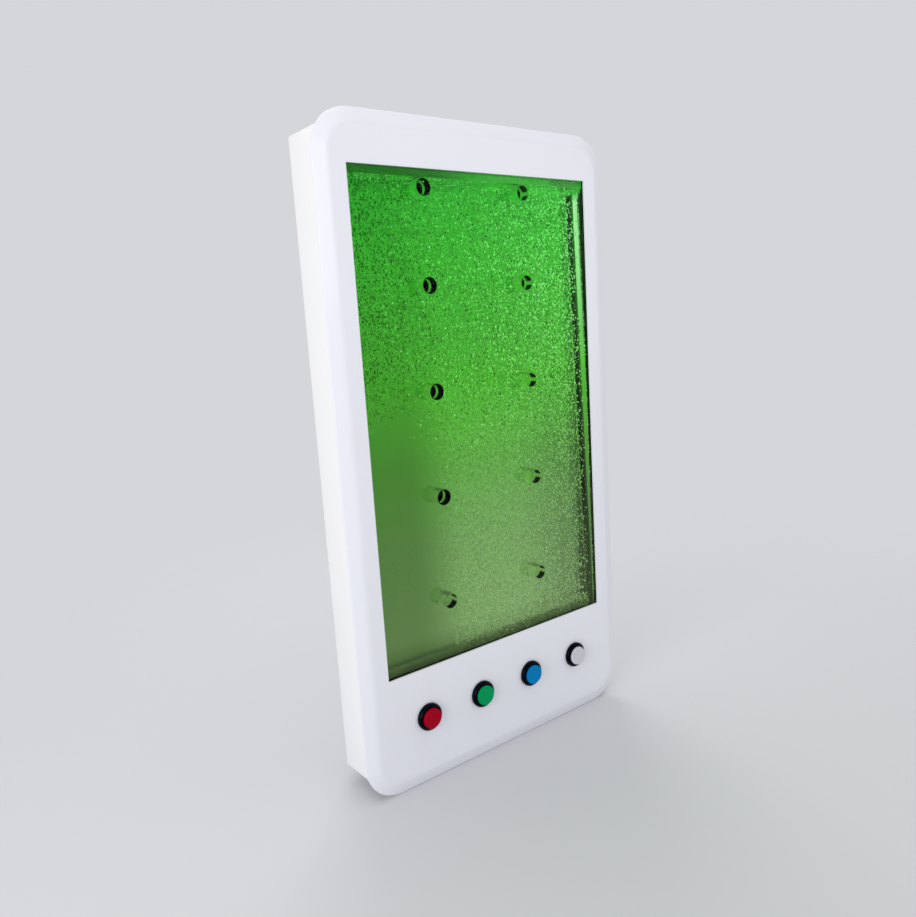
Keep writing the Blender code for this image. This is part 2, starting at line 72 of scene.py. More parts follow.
# Places read from the frame
fascia_low, fascia_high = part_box("fascia")
front_level = fascia_low.y
sheet_low, sheet_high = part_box("tank_front_sheet")
water_front = sheet_high.y
water_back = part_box("tank_rear_sheet")[0].y
water_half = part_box("tank_right_wall")[0].x
water_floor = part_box("tank_base")[1].z
lid_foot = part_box("tank_lid")[0].z
gasket_low, gasket_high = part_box("window_gasket")
gasket_cover = 8 * mm
window_half = gasket_high.x - gasket_cover
window_foot = gasket_low.z + gasket_cover
window_head = gasket_high.z - gasket_cover

button_names = ("red", "green", "blue", "white")
button_hole = 16.3 * mm
spacer_nodes = [f"spacer_tube_{side}_{row}" for side in ("left", "right") for row in range(1, 6)]
# Tubes drawn with darker painted shade in their bores, and those with a black disc of painted shade deep
# inside
deep_shade_spacers = spacer_nodes[1:5]
shade_disc_spacers = deep_shade_spacers + spacer_nodes[8:]

# How far bubbles stay from the tank's faces and from the tubes' axes, and how many are foam
bubble_margin = 4 * mm
tube_clearance = 18 * mm
foam_count = 620

# The painted reflection bands on the tank's walls lean with height: shares of the wall's depth for each
# metre above a level
wall_lean = 0.5
upright_level = -0.28


def srgb(code):
    """Turn an sRGB hex value into a linear colour with full alpha."""
    shares = [int(code[place:place + 2], 16) / 255 for place in (0, 2, 4)]
    linear = [share / 12.92 if share <= 0.04045 else ((share + 0.055) / 1.055) ** 2.4 for share in shares]
    return (*linear, 1.0)


def colour_setting(name, description, code):
    """Declare a colour that a user can change."""
    return bpy.props.FloatVectorProperty(name=name, description=description, default=srgb(code),
                                         subtype="COLOR", size=4, min=0, max=1)


def length_setting(name, description, default):
    """Declare a length that a user can change."""
    return bpy.props.FloatProperty(name=name, description=description, default=default,
                                   min=0, unit="LENGTH")


class CaseLooks(bpy.types.PropertyGroup):
    """Sizes and colours of the fascia and the case."""

    moulding_colour: colour_setting("Moulding colour", "Colour of the white front moulding", "EBECF5")
    board_colour: colour_setting("Board colour", "Colour of the lacquered case boards", "F2F2F4")
    corner_radius: length_setting("Corner radius", "Outer corner of the fascia", 72 * mm)
    band_width: length_setting("Band width", "Width of the sloped band round the fascia", 30 * mm)
    band_rise: length_setting("Band rise", "Depth of the sloped band", 8.5 * mm)
    lip_radius: length_setting("Lip radius", "Rounding of the window's cut edge", 0.8 * mm)
    board_edge: length_setting("Board edge", "Rounding of the case boards' edges", 1.2 * mm)


class TankLooks(bpy.types.PropertyGroup):
    """Sizes and colours of the lit tank."""

    # The glow colours are painted light: the lamp strip's light down the tank, drawn as emission on the
    # backing, bubbles, walls and tubes
    glow_head: colour_setting("Glow at the head", "Colour of the lit sheet under the surface", "2C9C27")
    glow_upper: colour_setting("Upper glow", "Colour of the lit sheet high in the tank", "349F28")
    glow_middle: colour_setting("Middle glow", "Colour of the lit sheet above the middle", "419628")
    glow_low_middle: colour_setting("Low middle glow", "Colour of the lit sheet below the middle", "457C2D")
    glow_lower: colour_setting("Lower glow", "Colour of the lit sheet low in the tank", "53763E")
    glow_foot: colour_setting("Glow at the foot", "Colour of the lit sheet above the bubble bar", "5C7747")
    glow_strength: bpy.props.FloatProperty(name="Glow strength", description="How strongly the sheet glows",
                                           default=1.1, min=0)
    bubble_count: bpy.props.IntProperty(name="Bubbles", description="How many lit bubbles rise in the tank",
                                        default=8600, min=0)
    bubble_small: length_setting("Smallest bubble", "Width of the smallest bubble", 1.3 * mm)
    bubble_large: length_setting("Largest bubble", "Width of the largest bubble", 3.4 * mm)
    air_gap: length_setting("Air gap", "Height of the air above the water, seen in the window", 12.5 * mm)


class ButtonLooks(bpy.types.PropertyGroup):
    """Sizes and colours of the push buttons."""

    red: colour_setting("Red cap", "Colour of the red cap", "A60020")
    green: colour_setting("Green cap", "Colour of the green cap", "009A5A")
    blue: colour_setting("Blue cap", "Colour of the blue cap", "007FBE")
    white: colour_setting("White cap", "Colour of the white cap", "D2D2DA")
    cap_dish: length_setting("Cap dish", "How deep a cap's face is dished", 0.4 * mm)


class StageLooks(bpy.types.PropertyGroup):
    """Camera, floor and lamps."""

    camera_place: bpy.props.FloatVectorProperty(
        name="Camera place", description="Where the camera stands",
        default=(-0.93868, -1.26408, -0.18833), subtype="TRANSLATION", unit="LENGTH")
    camera_turn: bpy.props.FloatVectorProperty(
        name="Camera turn", description="How the camera is turned",
        default=[math.radians(turn) for turn in (80.077, 3.579, -37.547)], subtype="EULER")
    camera_lens: bpy.props.FloatProperty(name="Lens", description="Focal length", default=30.711,
                                         min=1, unit="CAMERA")
    backdrop: colour_setting("Backdrop", "Colour seen behind the panel", "D4D6DA")


def add_node(tree, kind, settings=None, inputs=None):
    """Add a node with its settings, values and links."""
    made = tree.nodes.new(kind)
    for name, value in (settings or {}).items():
        setattr(made, name, value)
    for name, value in (inputs or {}).items():
        if isinstance(value, bpy.types.NodeSocket):
            tree.links.new(value, made.inputs[name])
        else:
            made.inputs[name].default_value = value
    return made


def shared(name, make):
    """Return the material of that name, made on its first use."""
    return bpy.data.materials.get(name) or make()


def start_material(name, **sockets):
    """Make a material whose one Principled shader has the given socket values."""
    made = bpy.data.materials.new(name)
    made.use_nodes = True
    tree = made.node_tree
    shader = tree.nodes["Principled BSDF"]
    for socket, value in sockets.items():
        shader.inputs[socket.replace("_", " ")].default_value = value
    return made, tree, shader


def add_pattern(tree, size, stretch=(1, 1, 1), detail=2.0):
    """Add noise whose grains are about the given size in metres, and return its output."""
    place = add_node(tree, "ShaderNodeTexCoord")
    turned = add_node(tree, "ShaderNodeMapping", None, {"Vector": place.outputs["Object"], "Scale": stretch})
    return add_node(tree, "ShaderNodeTexNoise", None,
                    {"Vector": turned.outputs["Vector"], "Scale": 1 / size, "Detail": detail}).outputs["Fac"]


def add_relief(shader, height, depth):
    """Raise the surface by a pattern, to a real depth in metres."""
    tree = shader.id_data
    bump = add_node(tree, "ShaderNodeBump", None, {"Height": height, "Distance": depth, "Strength": 1.0})
    tree.links.new(bump.outputs["Normal"], shader.inputs["Normal"])


def eased_range(value, start, end, low=0.0, high=1.0):
    """Ease from low to high while a value goes from start to end."""
    return add_node(value.id_data, "ShaderNodeMapRange", {"interpolation_type": "SMOOTHSTEP"},
                    {"Value": value, "From Min": start, "From Max": end, "To Min": low,
                     "To Max": high}).outputs["Result"]


def add_drift(socket, low, high, height):
    """Let a socket's value or colour drift between two ends with a pattern."""
    tree = height.id_data
    if isinstance(low, float):
        ends = {"Value": height, "From Min": 0.3, "From Max": 0.7, "To Min": low, "To Max": high}
        drift = add_node(tree, "ShaderNodeMapRange", None, ends).outputs["Result"]
    else:
        blend = add_node(tree, "ShaderNodeMix", {"data_type": "RGBA"}, {0: height, 6: low, 7: high})
        drift = blend.outputs[2]
    tree.links.new(drift, socket)


def add_ramp(value, stops):
    """Return the colour at a value, between stops of (value, colour)."""
    ramp = add_node(value.id_data, "ShaderNodeValToRGB", None, {0: value})
    while len(ramp.color_ramp.elements) < len(stops):
        ramp.color_ramp.elements.new(0.5)
    for element, (level, colour) in zip(ramp.color_ramp.elements, stops):
        element.position = level
        element.color = colour
    return ramp.outputs["Color"]


def worked(operation, *values):
    """Work out one number from others, of which the first is a socket."""
    return add_node(values[0].id_data, "ShaderNodeMath", {"operation": operation},
                    dict(enumerate(values))).outputs[0]


def product(first, *others):
    """Multiply numbers, of which the first is a socket."""
    for other in others:
        first = worked("MULTIPLY", first, other)
    return first


def scaled(colour, share):
    """Scale a colour by a number."""
    return add_node(colour.id_data, "ShaderNodeVectorMath", {"operation": "SCALE"},
                    {0: colour, "Scale": share}).outputs["Vector"]


def shaded(colour, share):
    """Return a colour made darker or lighter by a share."""
    return (*[min(part * share, 1.0) for part in colour[:3]], 1.0)


def grained(name, grain, rough=None, tint=None, depth=None, stretch=(1, 1, 1), detail=2.0, **sockets):
    """Make a material whose roughness, colour and relief follow one grain of a size in metres."""
    made, tree, shader = start_material(name, **sockets)
    height = add_pattern(tree, grain, stretch, detail)
    if rough:
        add_drift(shader.inputs["Roughness"], *rough, height)
    if tint:
        add_drift(shader.inputs["Base Color"], *tint, height)
    if depth:
        add_relief(shader, height, depth)
    return made


def moulded_abs_white(colour):
    """Gloss white ABS, vacuum formed: smooth and bright, with a slow ripple left by the mould."""
    made, tree, shader = start_material("vacuum_formed_abs_white", Roughness=0.22, IOR=1.50,
                                        Coat_Weight=0.25, Coat_Roughness=0.06)
    add_drift(shader.inputs["Base Color"], shaded(colour, 0.985), colour, add_pattern(tree, 90 * mm))
    add_relief(shader, add_pattern(tree, 45 * mm, detail=1.0), 0.10 * mm)
    return made


def lacquered_mdf(colour):
    """Sprayed white lacquer on MDF: satin, with the fine peel of a sprayed coat."""
    made, tree, shader = start_material("sprayed_lacquer_mdf", IOR=1.48, Specular_IOR_Level=0.3)
    peel = add_pattern(tree, 2.2 * mm)
    add_drift(shader.inputs["Base Color"], shaded(colour, 0.98), colour, add_pattern(tree, 60 * mm))
    add_drift(shader.inputs["Roughness"], 0.34, 0.46, peel)
    add_relief(shader, peel, 0.03 * mm)
    return made


def cast_acrylic(name, ior):
    """Cast acrylic with an anti-reflection coat: clear and polished, with only a faint mirror image."""
    return start_material(name, Base_Color=srgb("F9FDF9"), Roughness=0.0, IOR=ior, Transmission_Weight=1.0,
                          Specular_Tint=srgb("303030"))[0]


def see_through(name):
    """Acrylic glued to acrylic, or water against acrylic: one medium, so the face doesn't show."""
    made = bpy.data.materials.new(name)
    made.use_nodes = True
    tree = made.node_tree
    tree.nodes.clear()
    clear = add_node(tree, "ShaderNodeBsdfTransparent", None, {"Color": srgb("FDFFFD")})
    add_node(tree, "ShaderNodeOutputMaterial", None, {"Surface": clear.outputs[0]})
    return made


def water_surface():
    """Clear water under air: mirrors the lit tank from below."""
    return start_material("clear_water", Base_Color=srgb("F7FFF8"), Roughness=0.0, IOR=1.33,
                          Transmission_Weight=1.0)[0]


def show_mix(tree, share, first, second):
    """Give a material the mix of two shaders."""
    mixed = add_node(tree, "ShaderNodeMixShader", None,
                     {0: share, 1: first.outputs[0], 2: second.outputs[0]})
    tree.links.new(mixed.outputs[0], tree.nodes["Material Output"].inputs["Surface"])


def extruded_tube():
    """Extruded acrylic tube under water: nearly vanishes, with faint dark lines of painted shade where it
    turns away.
    """
    made, tree, shader = start_material("extruded_acrylic_tube", Base_Color=srgb("16380F"), Roughness=0.15,
                                        IOR=1.12)
    clear = add_node(tree, "ShaderNodeBsdfTransparent", None, {"Color": srgb("F2FAF0")})
    rim = add_node(tree, "ShaderNodeLayerWeight", None, {"Blend": 0.5})
    show_mix(tree, eased_range(rim.outputs["Facing"], 0.74, 0.97, 0.0, 0.5), clear, shader)
    return made


def joint_sealant():
    """Cured black sealant pressed between sheets: near black and satin, with pinholes of trapped air."""
    made, tree, shader = start_material("cured_silicone_black", Roughness=0.45, IOR=1.41,
                                        Specular_IOR_Level=0.02)
    holes = eased_range(add_pattern(tree, 2.2 * mm, (1, 1, 0.6)), 0.68, 0.73)
    add_drift(shader.inputs["Base Color"], srgb("010201"), srgb("4E6A4C"), holes)
    return made


def painted_glow_by_height(tree, looks):
    """Return the tank's painted glow, the lamp strip's light drawn as emission: painted shade darkest at the
    base and above the water, purest green high up; and the place it is read at.
    """
    source = add_node(tree, "ShaderNodeTexCoord")
    place = add_node(tree, "ShaderNodeSeparateXYZ", None, {0: source.outputs["Object"]}).outputs
    climb = add_node(tree, "ShaderNodeMapRange", None,
                     {"Value": place["Z"], "From Min": water_floor, "From Max": lid_foot})
    stops = ((0.0, shaded(looks.glow_foot, 0.30)), (0.015, shaded(looks.glow_foot, 0.76)),
             (0.045, looks.glow_foot), (0.23, looks.glow_lower), (0.41, looks.glow_low_middle),
             (0.59, looks.glow_middle), (0.84, looks.glow_upper), (0.955, looks.glow_head),
             (0.985, shaded(looks.glow_head, 0.42)))
    return add_ramp(climb.outputs["Result"], stops), place


def painted_bubble_haze(place):
    """Return how far the finest bubbles lift the glow at a place as painted light, with painted shade low on
    the right, and how thick they hang there.
    """
    x, z = place["X"], place["Z"]
    plume = eased_range(x, -0.60 * water_half, -0.10 * water_half)
    thick = worked("MAXIMUM", plume, eased_range(z, -0.52, -0.20))
    lift = worked("MULTIPLY_ADD", plume, eased_range(z, -0.46, -0.20, 0.62, 0.10), 1.0)
    # Painted shade dims the haze low on the right, and painted light lifts it a little higher up
    right = product(eased_range(x, 0.3 * water_half, 0.95 * water_half),
                    eased_range(z, -0.50, -0.20, -0.38, 0.04))
    return product(lift, worked("ADD", right, 1.0)), thick


def emit(shader, colour, looks, white=0.0):
    """Paint light on a shader: let it glow in a colour, lifted towards white by a share."""
    tree = shader.id_data
    pale = add_node(tree, "ShaderNodeVectorMath", {"operation": "SCALE"}, {0: (1, 1, 1), "Scale": white})
    lifted = add_node(tree, "ShaderNodeVectorMath", {"operation": "ADD"},
                      {0: colour, 1: pale.outputs["Vector"]})
    tree.links.new(lifted.outputs["Vector"], shader.inputs["Emission Color"])
    shader.inputs["Emission Strength"].default_value = looks.glow_strength


def backing_painted_glow(looks):
    """Opal acrylic sheet that carries the lamp strip's light as a painted glow: pure green high up and dull
    at the foot, under a painted haze of bubbles.
    """
    made, tree, shader = start_material("opal_acrylic_edge_lit", Base_Color=srgb("0C140A"), Roughness=0.6,
                                        IOR=1.49, Specular_IOR_Level=0.1)
    glow, place = painted_glow_by_height(tree, looks)
    lift, thick = painted_bubble_haze(place)
    x, z = place["X"], place["Z"]
    # Painted shade: the glow darkens towards the side walls
    painted_wall_shade = eased_range(worked("ABSOLUTE", x), 0.935 * water_half, 0.985 * water_half, 1.0, 0.62)
    # Bubbles under 1 mm are too fine to show, so their haze is painted light: grains 2.6 mm wide that lift
    # and lower the glow
    grains = worked("MULTIPLY_ADD", add_pattern(tree, 2.6 * mm, (1, 1, 0.6), 1.0), 1.5, -0.75)
    haze = product(lift, worked("MULTIPLY_ADD", grains, thick, 1.0))
    # Foam crowds the surface on the right; a painted glow keeps the air gap there as bright as the water
    foam = product(eased_range(x, -0.15 * water_half, 0.35 * water_half),
                   eased_range(z, 0.046, 0.070, 0.0, 1.3))
    # Painted light: a faint white lift of the glow low on the left
    painted_pale_lift = product(eased_range(x, -0.55 * water_half, 0.0), eased_range(z, -0.62, -0.30, 0.026, 0.0))
    emit(shader, scaled(glow, product(haze, painted_wall_shade, worked("ADD", foam, 1.0))), looks, painted_pale_lift)
    return made


def bubble_skin(name, looks, low, high, painted_rim_shade, white=0.0):
    """An air bubble in water drawn with painted light: it glows with the sheet's painted glow, brighter or
    darker with height, turns darker at its rim as painted shade, and whitens as a painted highlight.
    """
    made, tree, shader = start_material(name, Base_Color=srgb("0A140A"), Roughness=0.1, IOR=1.33)
    glow, place = painted_glow_by_height(tree, looks)
    z = place["Z"]
    # Painted light by height, a painted dark rim and a painted white highlight
    gain = eased_range(z, -0.70, -0.15, low, high)
    rim = add_node(tree, "ShaderNodeLayerWeight", None, {"Blend": 0.35})
    edge = eased_range(rim.outputs["Facing"], 0.3, 0.9, 1.0, painted_rim_shade)
    emit(shader, scaled(glow, product(gain, edge)), looks, eased_range(z, -0.75, -0.15, 0.35 * white, white))
    return made


def painted_wall_reflection(looks):
    """Polished acrylic wall whose mirror image of the lit tank is painted reflection in upright bands: pale,
    black, green, then bright.
    """
    made, tree, shader = start_material("cast_acrylic_wall_lit", Base_Color=srgb("010301"), Roughness=0.5,
                                        IOR=1.49, Specular_IOR_Level=0.0)
    glow, place = painted_glow_by_height(tree, looks)
    y, z = place["Y"], place["Z"]
    depth = water_back - water_front
    across = worked("MULTIPLY_ADD", y, -1 / depth, water_back / depth)
    lean = worked("MULTIPLY_ADD", z, wall_lean, -wall_lean * upright_level)
    sway = worked("MULTIPLY_ADD", add_pattern(tree, 8 * mm, (1, 1, 0.15)), 0.06, -0.03)
    shares = ((0.0, 0.30), (0.10, 0.22), (0.155, 0.5), (0.19, 0.45), (0.225, 0.03), (0.43, 0.04),
              (0.50, 0.14), (0.57, 0.20), (0.62, 0.74), (0.85, 0.70), (0.91, 0.10), (1.0, 0.04))
    bands = add_ramp(worked("ADD", worked("ADD", across, lean), sway),
                     [(level, (share, share, share, 1)) for level, share in shares])
    doubled = product(bands, 2.0)
    low = worked("MAXIMUM", doubled, eased_range(z, -0.72, -0.50, 0.42, 0.0))
    share = product(low, eased_range(z, -0.75, -0.40, 0.6, 1.0))
    # Painted glow above the water line, and painted pale highlights in the brightest bands
    foamy = worked("MAXIMUM", share, eased_range(z, 0.046, 0.058, 0.0, 1.5))
    pale = product(worked("MAXIMUM", worked("ADD", doubled, -1.1), 0.0),
                   eased_range(z, -0.35, 0.05, 0.0, 0.85), eased_range(z, 0.035, 0.055, 1.0, 0.0))
    emit(shader, scaled(glow, foamy), looks, pale)
    return made


def facing_up(tree):
    """Return how far a surface faces up, from -1 to 1."""
    faced = add_node(tree, "ShaderNodeTexCoord")
    return add_node(tree, "ShaderNodeSeparateXYZ", None, {0: faced.outputs["Normal"]}).outputs["Z"]


def tube_wall_lit(looks):
    """Acrylic tube wall under water drawn with painted light: it carries the tank's painted glow in patches,
    and painted shade draws a dark line along its upper edge.
    """
    made, tree, shader = start_material("extruded_acrylic_lit", Base_Color=srgb("0A140A"), Roughness=0.3,
                                        IOR=1.12, Specular_IOR_Level=0.1)
    glow, place = painted_glow_by_height(tree, looks)
    lift = painted_bubble_haze(place)[0]
    edge = eased_range(facing_up(tree), 0.72, 0.97, 1.06, 0.55)
    painted_glow_patches = worked("MULTIPLY_ADD", add_pattern(tree, 11 * mm), 0.7, 0.65)
    emit(shader, scaled(glow, product(lift, edge, painted_glow_patches)), looks)
    return made


def tube_bore(name, looks, upright_share, level_share):
    """A tube's bore seen at a slant, drawn with painted light and shade: each share says how bright its
    sides, or its top and foot, are painted.
    """
    made, tree, shader = start_material(name, Base_Color=srgb("010201"), Roughness=0.5, IOR=1.12,
                                        Specular_IOR_Level=0.0)
    glow, place = painted_glow_by_height(tree, looks)
    lift = painted_bubble_haze(place)[0]
    share = eased_range(worked("ABSOLUTE", facing_up(tree)), 0.18, 0.34, upright_share, level_share)
    emit(shader, scaled(glow, product(lift, share)), looks)
    return made


def pvc_lit(looks):
    """Extruded PVC under the lit tank: dark olive and satin, with the tank's painted glow on it in patches,
    and faint lines along the bar.
    """
    made, tree, shader = start_material("extruded_pvc_lit", Base_Color=srgb("1A2414"), IOR=1.53,
                                        Specular_IOR_Level=0.1)
    lines = add_pattern(tree, 1.2 * mm, (0.02, 1, 1))
    glow = painted_glow_by_height(tree, looks)[0]
    painted_glow_patches = worked("MULTIPLY_ADD", add_pattern(tree, 14 * mm, (0.6, 1, 1)), 0.6, 0.35)
    emit(shader, scaled(glow, painted_glow_patches), looks)
    add_drift(shader.inputs["Roughness"], 0.35, 0.5, lines)
    add_relief(shader, lines, 0.02 * mm)
    return made


def cap_resin(name, colour):
    """Translucent moulded polycarbonate: even colour that lets light soak in, and a soft gloss."""
    made, tree, shader = start_material(name, Roughness=0.35, IOR=1.58, Specular_IOR_Level=0.04,
                                        Subsurface_Weight=0.15, Subsurface_Scale=2 * mm)
    add_drift(shader.inputs["Base Color"], shaded(colour, 0.93), colour, add_pattern(tree, 7 * mm))
    add_relief(shader, add_pattern(tree, 0.7 * mm), 0.006 * mm)
    return made


def black_abs():
    """Injection moulded black ABS with a polished face: deep black and a crisp highlight."""
    return grained("injection_moulded_abs_black", 1.0 * mm, (0.14, 0.22), depth=0.004 * mm, IOR=1.53,
                   Base_Color=srgb("010206"), Specular_IOR_Level=0.07, Specular_Tint=srgb("C8D4FF"))


def textured_abs(name, code):
    """ABS from a spark-eroded mould: matt, with a fine even pebble."""
    return grained(name, 0.9 * mm, (0.45, 0.62), depth=0.05 * mm, detail=3.0, IOR=1.53,
                   Base_Color=srgb(code))


def epdm():
    """Moulded EPDM rubber: dead matt black with a slight bloom."""
    return grained("moulded_epdm", 6 * mm, (0.7, 0.9), (srgb("161616"), srgb("222222")), detail=4.0, IOR=1.5)


def anodised_aluminium():
    """Natural anodised aluminium extrusion: soft silver with die lines along its length."""
    return grained("anodised_aluminium_extrusion", 0.8 * mm, (0.26, 0.40), depth=0.01 * mm,
                   stretch=(0.01, 1, 1), Base_Color=srgb("C9CBCF"), Metallic=1.0)


def turned_brass():
    """Turned brass: warm yellow with fine lathe rings."""
    return grained("turned_brass", 0.6 * mm, (0.22, 0.38), depth=0.01 * mm, stretch=(0.05, 0.05, 1),
                   Base_Color=srgb("C8A45C"), Metallic=1.0)


def zinc_steel():
    """Zinc plated steel: bluish silver with a faint mottled bloom."""
    return grained("zinc_plated_steel", 2 * mm, (0.25, 0.42), Base_Color=srgb("B4B8C0"), Metallic=1.0)


def silicone_hose():
    """Extruded silicone hose: milky clear and slightly tacky looking."""
    return grained("extruded_silicone", 4 * mm, (0.28, 0.4), Base_Color=srgb("D8DEDC"), IOR=1.41,
                   Transmission_Weight=0.35)


def strip_board():
    """Glass epoxy board under a white solder mask: pale and satin, faintly mottled."""
    return grained("solder_masked_glass_epoxy", 3 * mm, (0.4, 0.55), Base_Color=srgb("E4E4DC"), IOR=1.55)


def phosphor():
    """Silicone filled with phosphor: a pale green glow while lit."""
    return grained("phosphor_silicone", 0.5 * mm, depth=0.01 * mm, Base_Color=srgb("D8E07A"), Roughness=0.35,
                   Emission_Color=srgb("A8FF9A"), Emission_Strength=2.0)


def finish_mesh(shape):
    """Turn a bmesh into a smooth-shaded mesh whose faces point out."""
    bmesh.ops.recalc_face_normals(shape, faces=shape.faces)
    mesh = bpy.data.meshes.new("piece")
    shape.to_mesh(mesh)
    shape.free()
    mesh.shade_smooth()
    mesh.set_sharp_from_angle(angle=sharp_turn)
    return mesh


def loft(rings, closed=False):
    """Join rings of points in order, and cap the ends or close the loop."""
    shape = bmesh.new()
    loops = [[shape.verts.new(point) for point in ring] for ring in rings]
    pairs = list(zip(loops, loops[1:]))
    if closed:
        pairs.append((loops[-1], loops[0]))
    else:
        shape.faces.new(loops[0])
        shape.faces.new(loops[-1])
    for low, high in pairs:
        for index, corner in enumerate(low):
            after = (index + 1) % len(low)
            shape.faces.new((corner, low[after], high[after], high[index]))
    return finish_mesh(shape)


def bend(start, corner, end, steps):
    """Return points on a soft curve from start to end that turns at the corner."""
    start, corner, end = Vector(start), Vector(corner), Vector(end)
    shares = [step / steps for step in range(steps + 1)]
    return [tuple(start.lerp(corner, share).lerp(corner.lerp(end, share), share)) for share in shares]


def eased(points, radius, steps=3, closed=True):
    """Round the corners of an outline of (across, along) points."""
    made = []
    for index, corner in enumerate(points):
        if not closed and index in (0, len(points) - 1):
            made.append(tuple(corner))
            continue
        here = Vector(corner)
        before = Vector(points[index - 1]) - here
        after = Vector(points[(index + 1) % len(points)]) - here
        reach = min(radius, before.length * 0.45, after.length * 0.45)
        made += bend(here + before.normalized() * reach, here, here + after.normalized() * reach, steps)
    return made


def turn(profile, axis, direction=(0, 0, 1), closed=False, sides=64, wave=None):
    """Turn a (radius, along) profile about an axis; wave may vary the radius round it."""
    stand = Vector((0, 0, 1)).rotation_difference(Vector(direction)).to_matrix().to_4x4()
    place = Matrix.Translation(axis) @ stand
    rings = []
    for radius, along in profile:
        ring = []
        for side in range(sides):
            angle = math.tau * side / sides
            reach = radius + (wave(radius, side) if wave else 0)
            ring.append(place @ Vector((reach * math.cos(angle), reach * math.sin(angle), along)))
        rings.append(ring)
    return loft(rings, closed)


def band(outer, inner, near, far):
    """Return the profile of a plain ring."""
    return [(outer, near), (outer, far), (inner, far), (inner, near)]


def add_piece(name, mesh, material, body=case, stands_for=(), slot=None):
    """Link a piece that rides on a body and may stand for nodes of the frame."""
    mesh.name = name
    mesh.materials.append(material)
    piece = bpy.data.objects.new(name, mesh)
    bpy.context.scene.collection.objects.link(piece)
    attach(piece, body)
    if stands_for:
        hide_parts(*stands_for)
    return piece


def add_set(name, meshes, material):
    """Add several meshes as one piece."""
    shape = bmesh.new()
    for mesh in meshes:
        shape.from_mesh(mesh)
        bpy.data.meshes.remove(mesh)
    made = bpy.data.meshes.new(name)
    shape.to_mesh(made)
    shape.free()
    made.set_sharp_from_angle(angle=sharp_turn)
    add_piece(name, made, material)


def block(low, high, radius, segments=3):
    """Make a block with rounded edges between two corners."""
    shape = bmesh.new()
    bmesh.ops.create_cube(shape, size=1)
    low, high = Vector(low), Vector(high)
    bmesh.ops.scale(shape, verts=shape.verts, vec=high - low)
    bmesh.ops.translate(shape, verts=shape.verts, vec=(low + high) / 2)
    bmesh.ops.bevel(shape, geom=shape.edges[:], offset=radius, segments=segments, profile=0.5,
                    affect="EDGES", clamp_overlap=True)
    return finish_mesh(shape)


def finish_node(node, material, radius, slot, segments=2, body=case):
    """Stand a copy of a node with rounded edges in for it."""
    shape = bmesh.new()
    shape.from_mesh(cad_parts[node].data)
    bmesh.ops.remove_doubles(shape, verts=shape.verts, dist=0.01 * mm)
    bmesh.ops.dissolve_limit(shape, angle_limit=math.radians(1), verts=shape.verts, edges=shape.edges)
    edges = [edge for edge in shape.edges if edge.is_manifold and edge.calc_face_angle() > edge_turn]
    bmesh.ops.bevel(shape, geom=edges, offset=radius, segments=segments, profile=0.5, affect="EDGES",
                    clamp_overlap=True)
    return add_piece(f"{node}_finished", finish_mesh(shape), material, body, (node,), slot)


def carve(piece, meshes):
    """Cut meshes out of a piece and keep the result as its mesh."""
    tools = [bpy.data.objects.new("tool", mesh) for mesh in meshes]
    for tool in tools:
        bpy.context.scene.collection.objects.link(tool)
        cut = piece.modifiers.new("cut", "BOOLEAN")
        cut.operation = "DIFFERENCE"
        cut.solver = "EXACT"
        cut.object = tool
    graph = bpy.context.evaluated_depsgraph_get()
    mesh = bpy.data.meshes.new_from_object(piece.evaluated_get(graph))
    piece.modifiers.clear()
    piece.data = mesh
    mesh.shade_smooth()
    mesh.set_sharp_from_angle(angle=carved_turn)
    for tool in tools:
        bpy.data.objects.remove(tool, do_unlink=True)


def fascia_outline(inset, level, radius, steps=20):
    """Return the fascia's rounded outline, drawn in by an inset, at a depth."""
    middle = (fascia_low.z + fascia_high.z) / 2
    reach_x = fascia_high.x - radius
    reach_z = fascia_high.z - middle - radius
    points = []
    for quarter, (side_x, side_z) in enumerate(((1, 1), (-1, 1), (-1, -1), (1, -1))):
        for step in range(steps + 1):
            angle = (quarter + step / steps) * math.pi / 2
            points.append((side_x * reach_x + (radius - inset) * math.cos(angle), level,
                           middle + side_z * reach_z + (radius - inset) * math.sin(angle)))
    return points


def fascia_profile(looks):
    """Return (inset, depth) pairs from the rear edge over the rim and the sloped band to the flat front."""
    rear = fascia_high.y
    rim = front_level + looks.band_rise
    straight = 0.67 * looks.band_width
    slope = 0.82 * looks.band_rise / straight
    knee = looks.band_rise / slope
    edge = eased([(3 * mm, rear), (0, rear), (0, rim), (straight, rim - slope * straight)], 0.9 * mm, 4,
                 closed=False)
    curve = bend(edge[-1], (knee, front_level), (looks.band_width, front_level), 10)
    return edge + curve[1:] + [(looks.band_width + 1 * mm, front_level)]


def window_tool(radius):
    """Return the window's cutter, flared at the front to leave a rounded lip."""
    rings = []
    flare = bend((radius, front_level), (0, front_level), (0, front_level + radius), 4)
    for grow, level in [(radius, front_level - cut_reach)] + flare + [(0, fascia_high.y + cut_reach)]:
        half, low, high = window_half + grow, window_foot - grow, window_head + grow
        rings.append([(-half, level, low), (half, level, low), (half, level, high), (-half, level, high)])
    return loft(rings)


def pocket_tool():
    """Return the cutter of the tank's pocket behind the window."""
    margin = 1 * mm
    return block((sheet_low.x - margin, gasket_low.y - snug, sheet_low.z - margin),
                 (sheet_high.x + margin, fascia_high.y + cut_reach, sheet_high.z + margin), 0.2 * mm, 1)


def middle_of(node):
    """Return the middle of a node's box."""
    low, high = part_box(node)
    return (low + high) / 2


def button_axis(name):
    """Return where a button's axis meets the fascia's front."""
    middle = middle_of(f"button_bezel_{name}")
    return Vector((middle.x, front_level, middle.z))


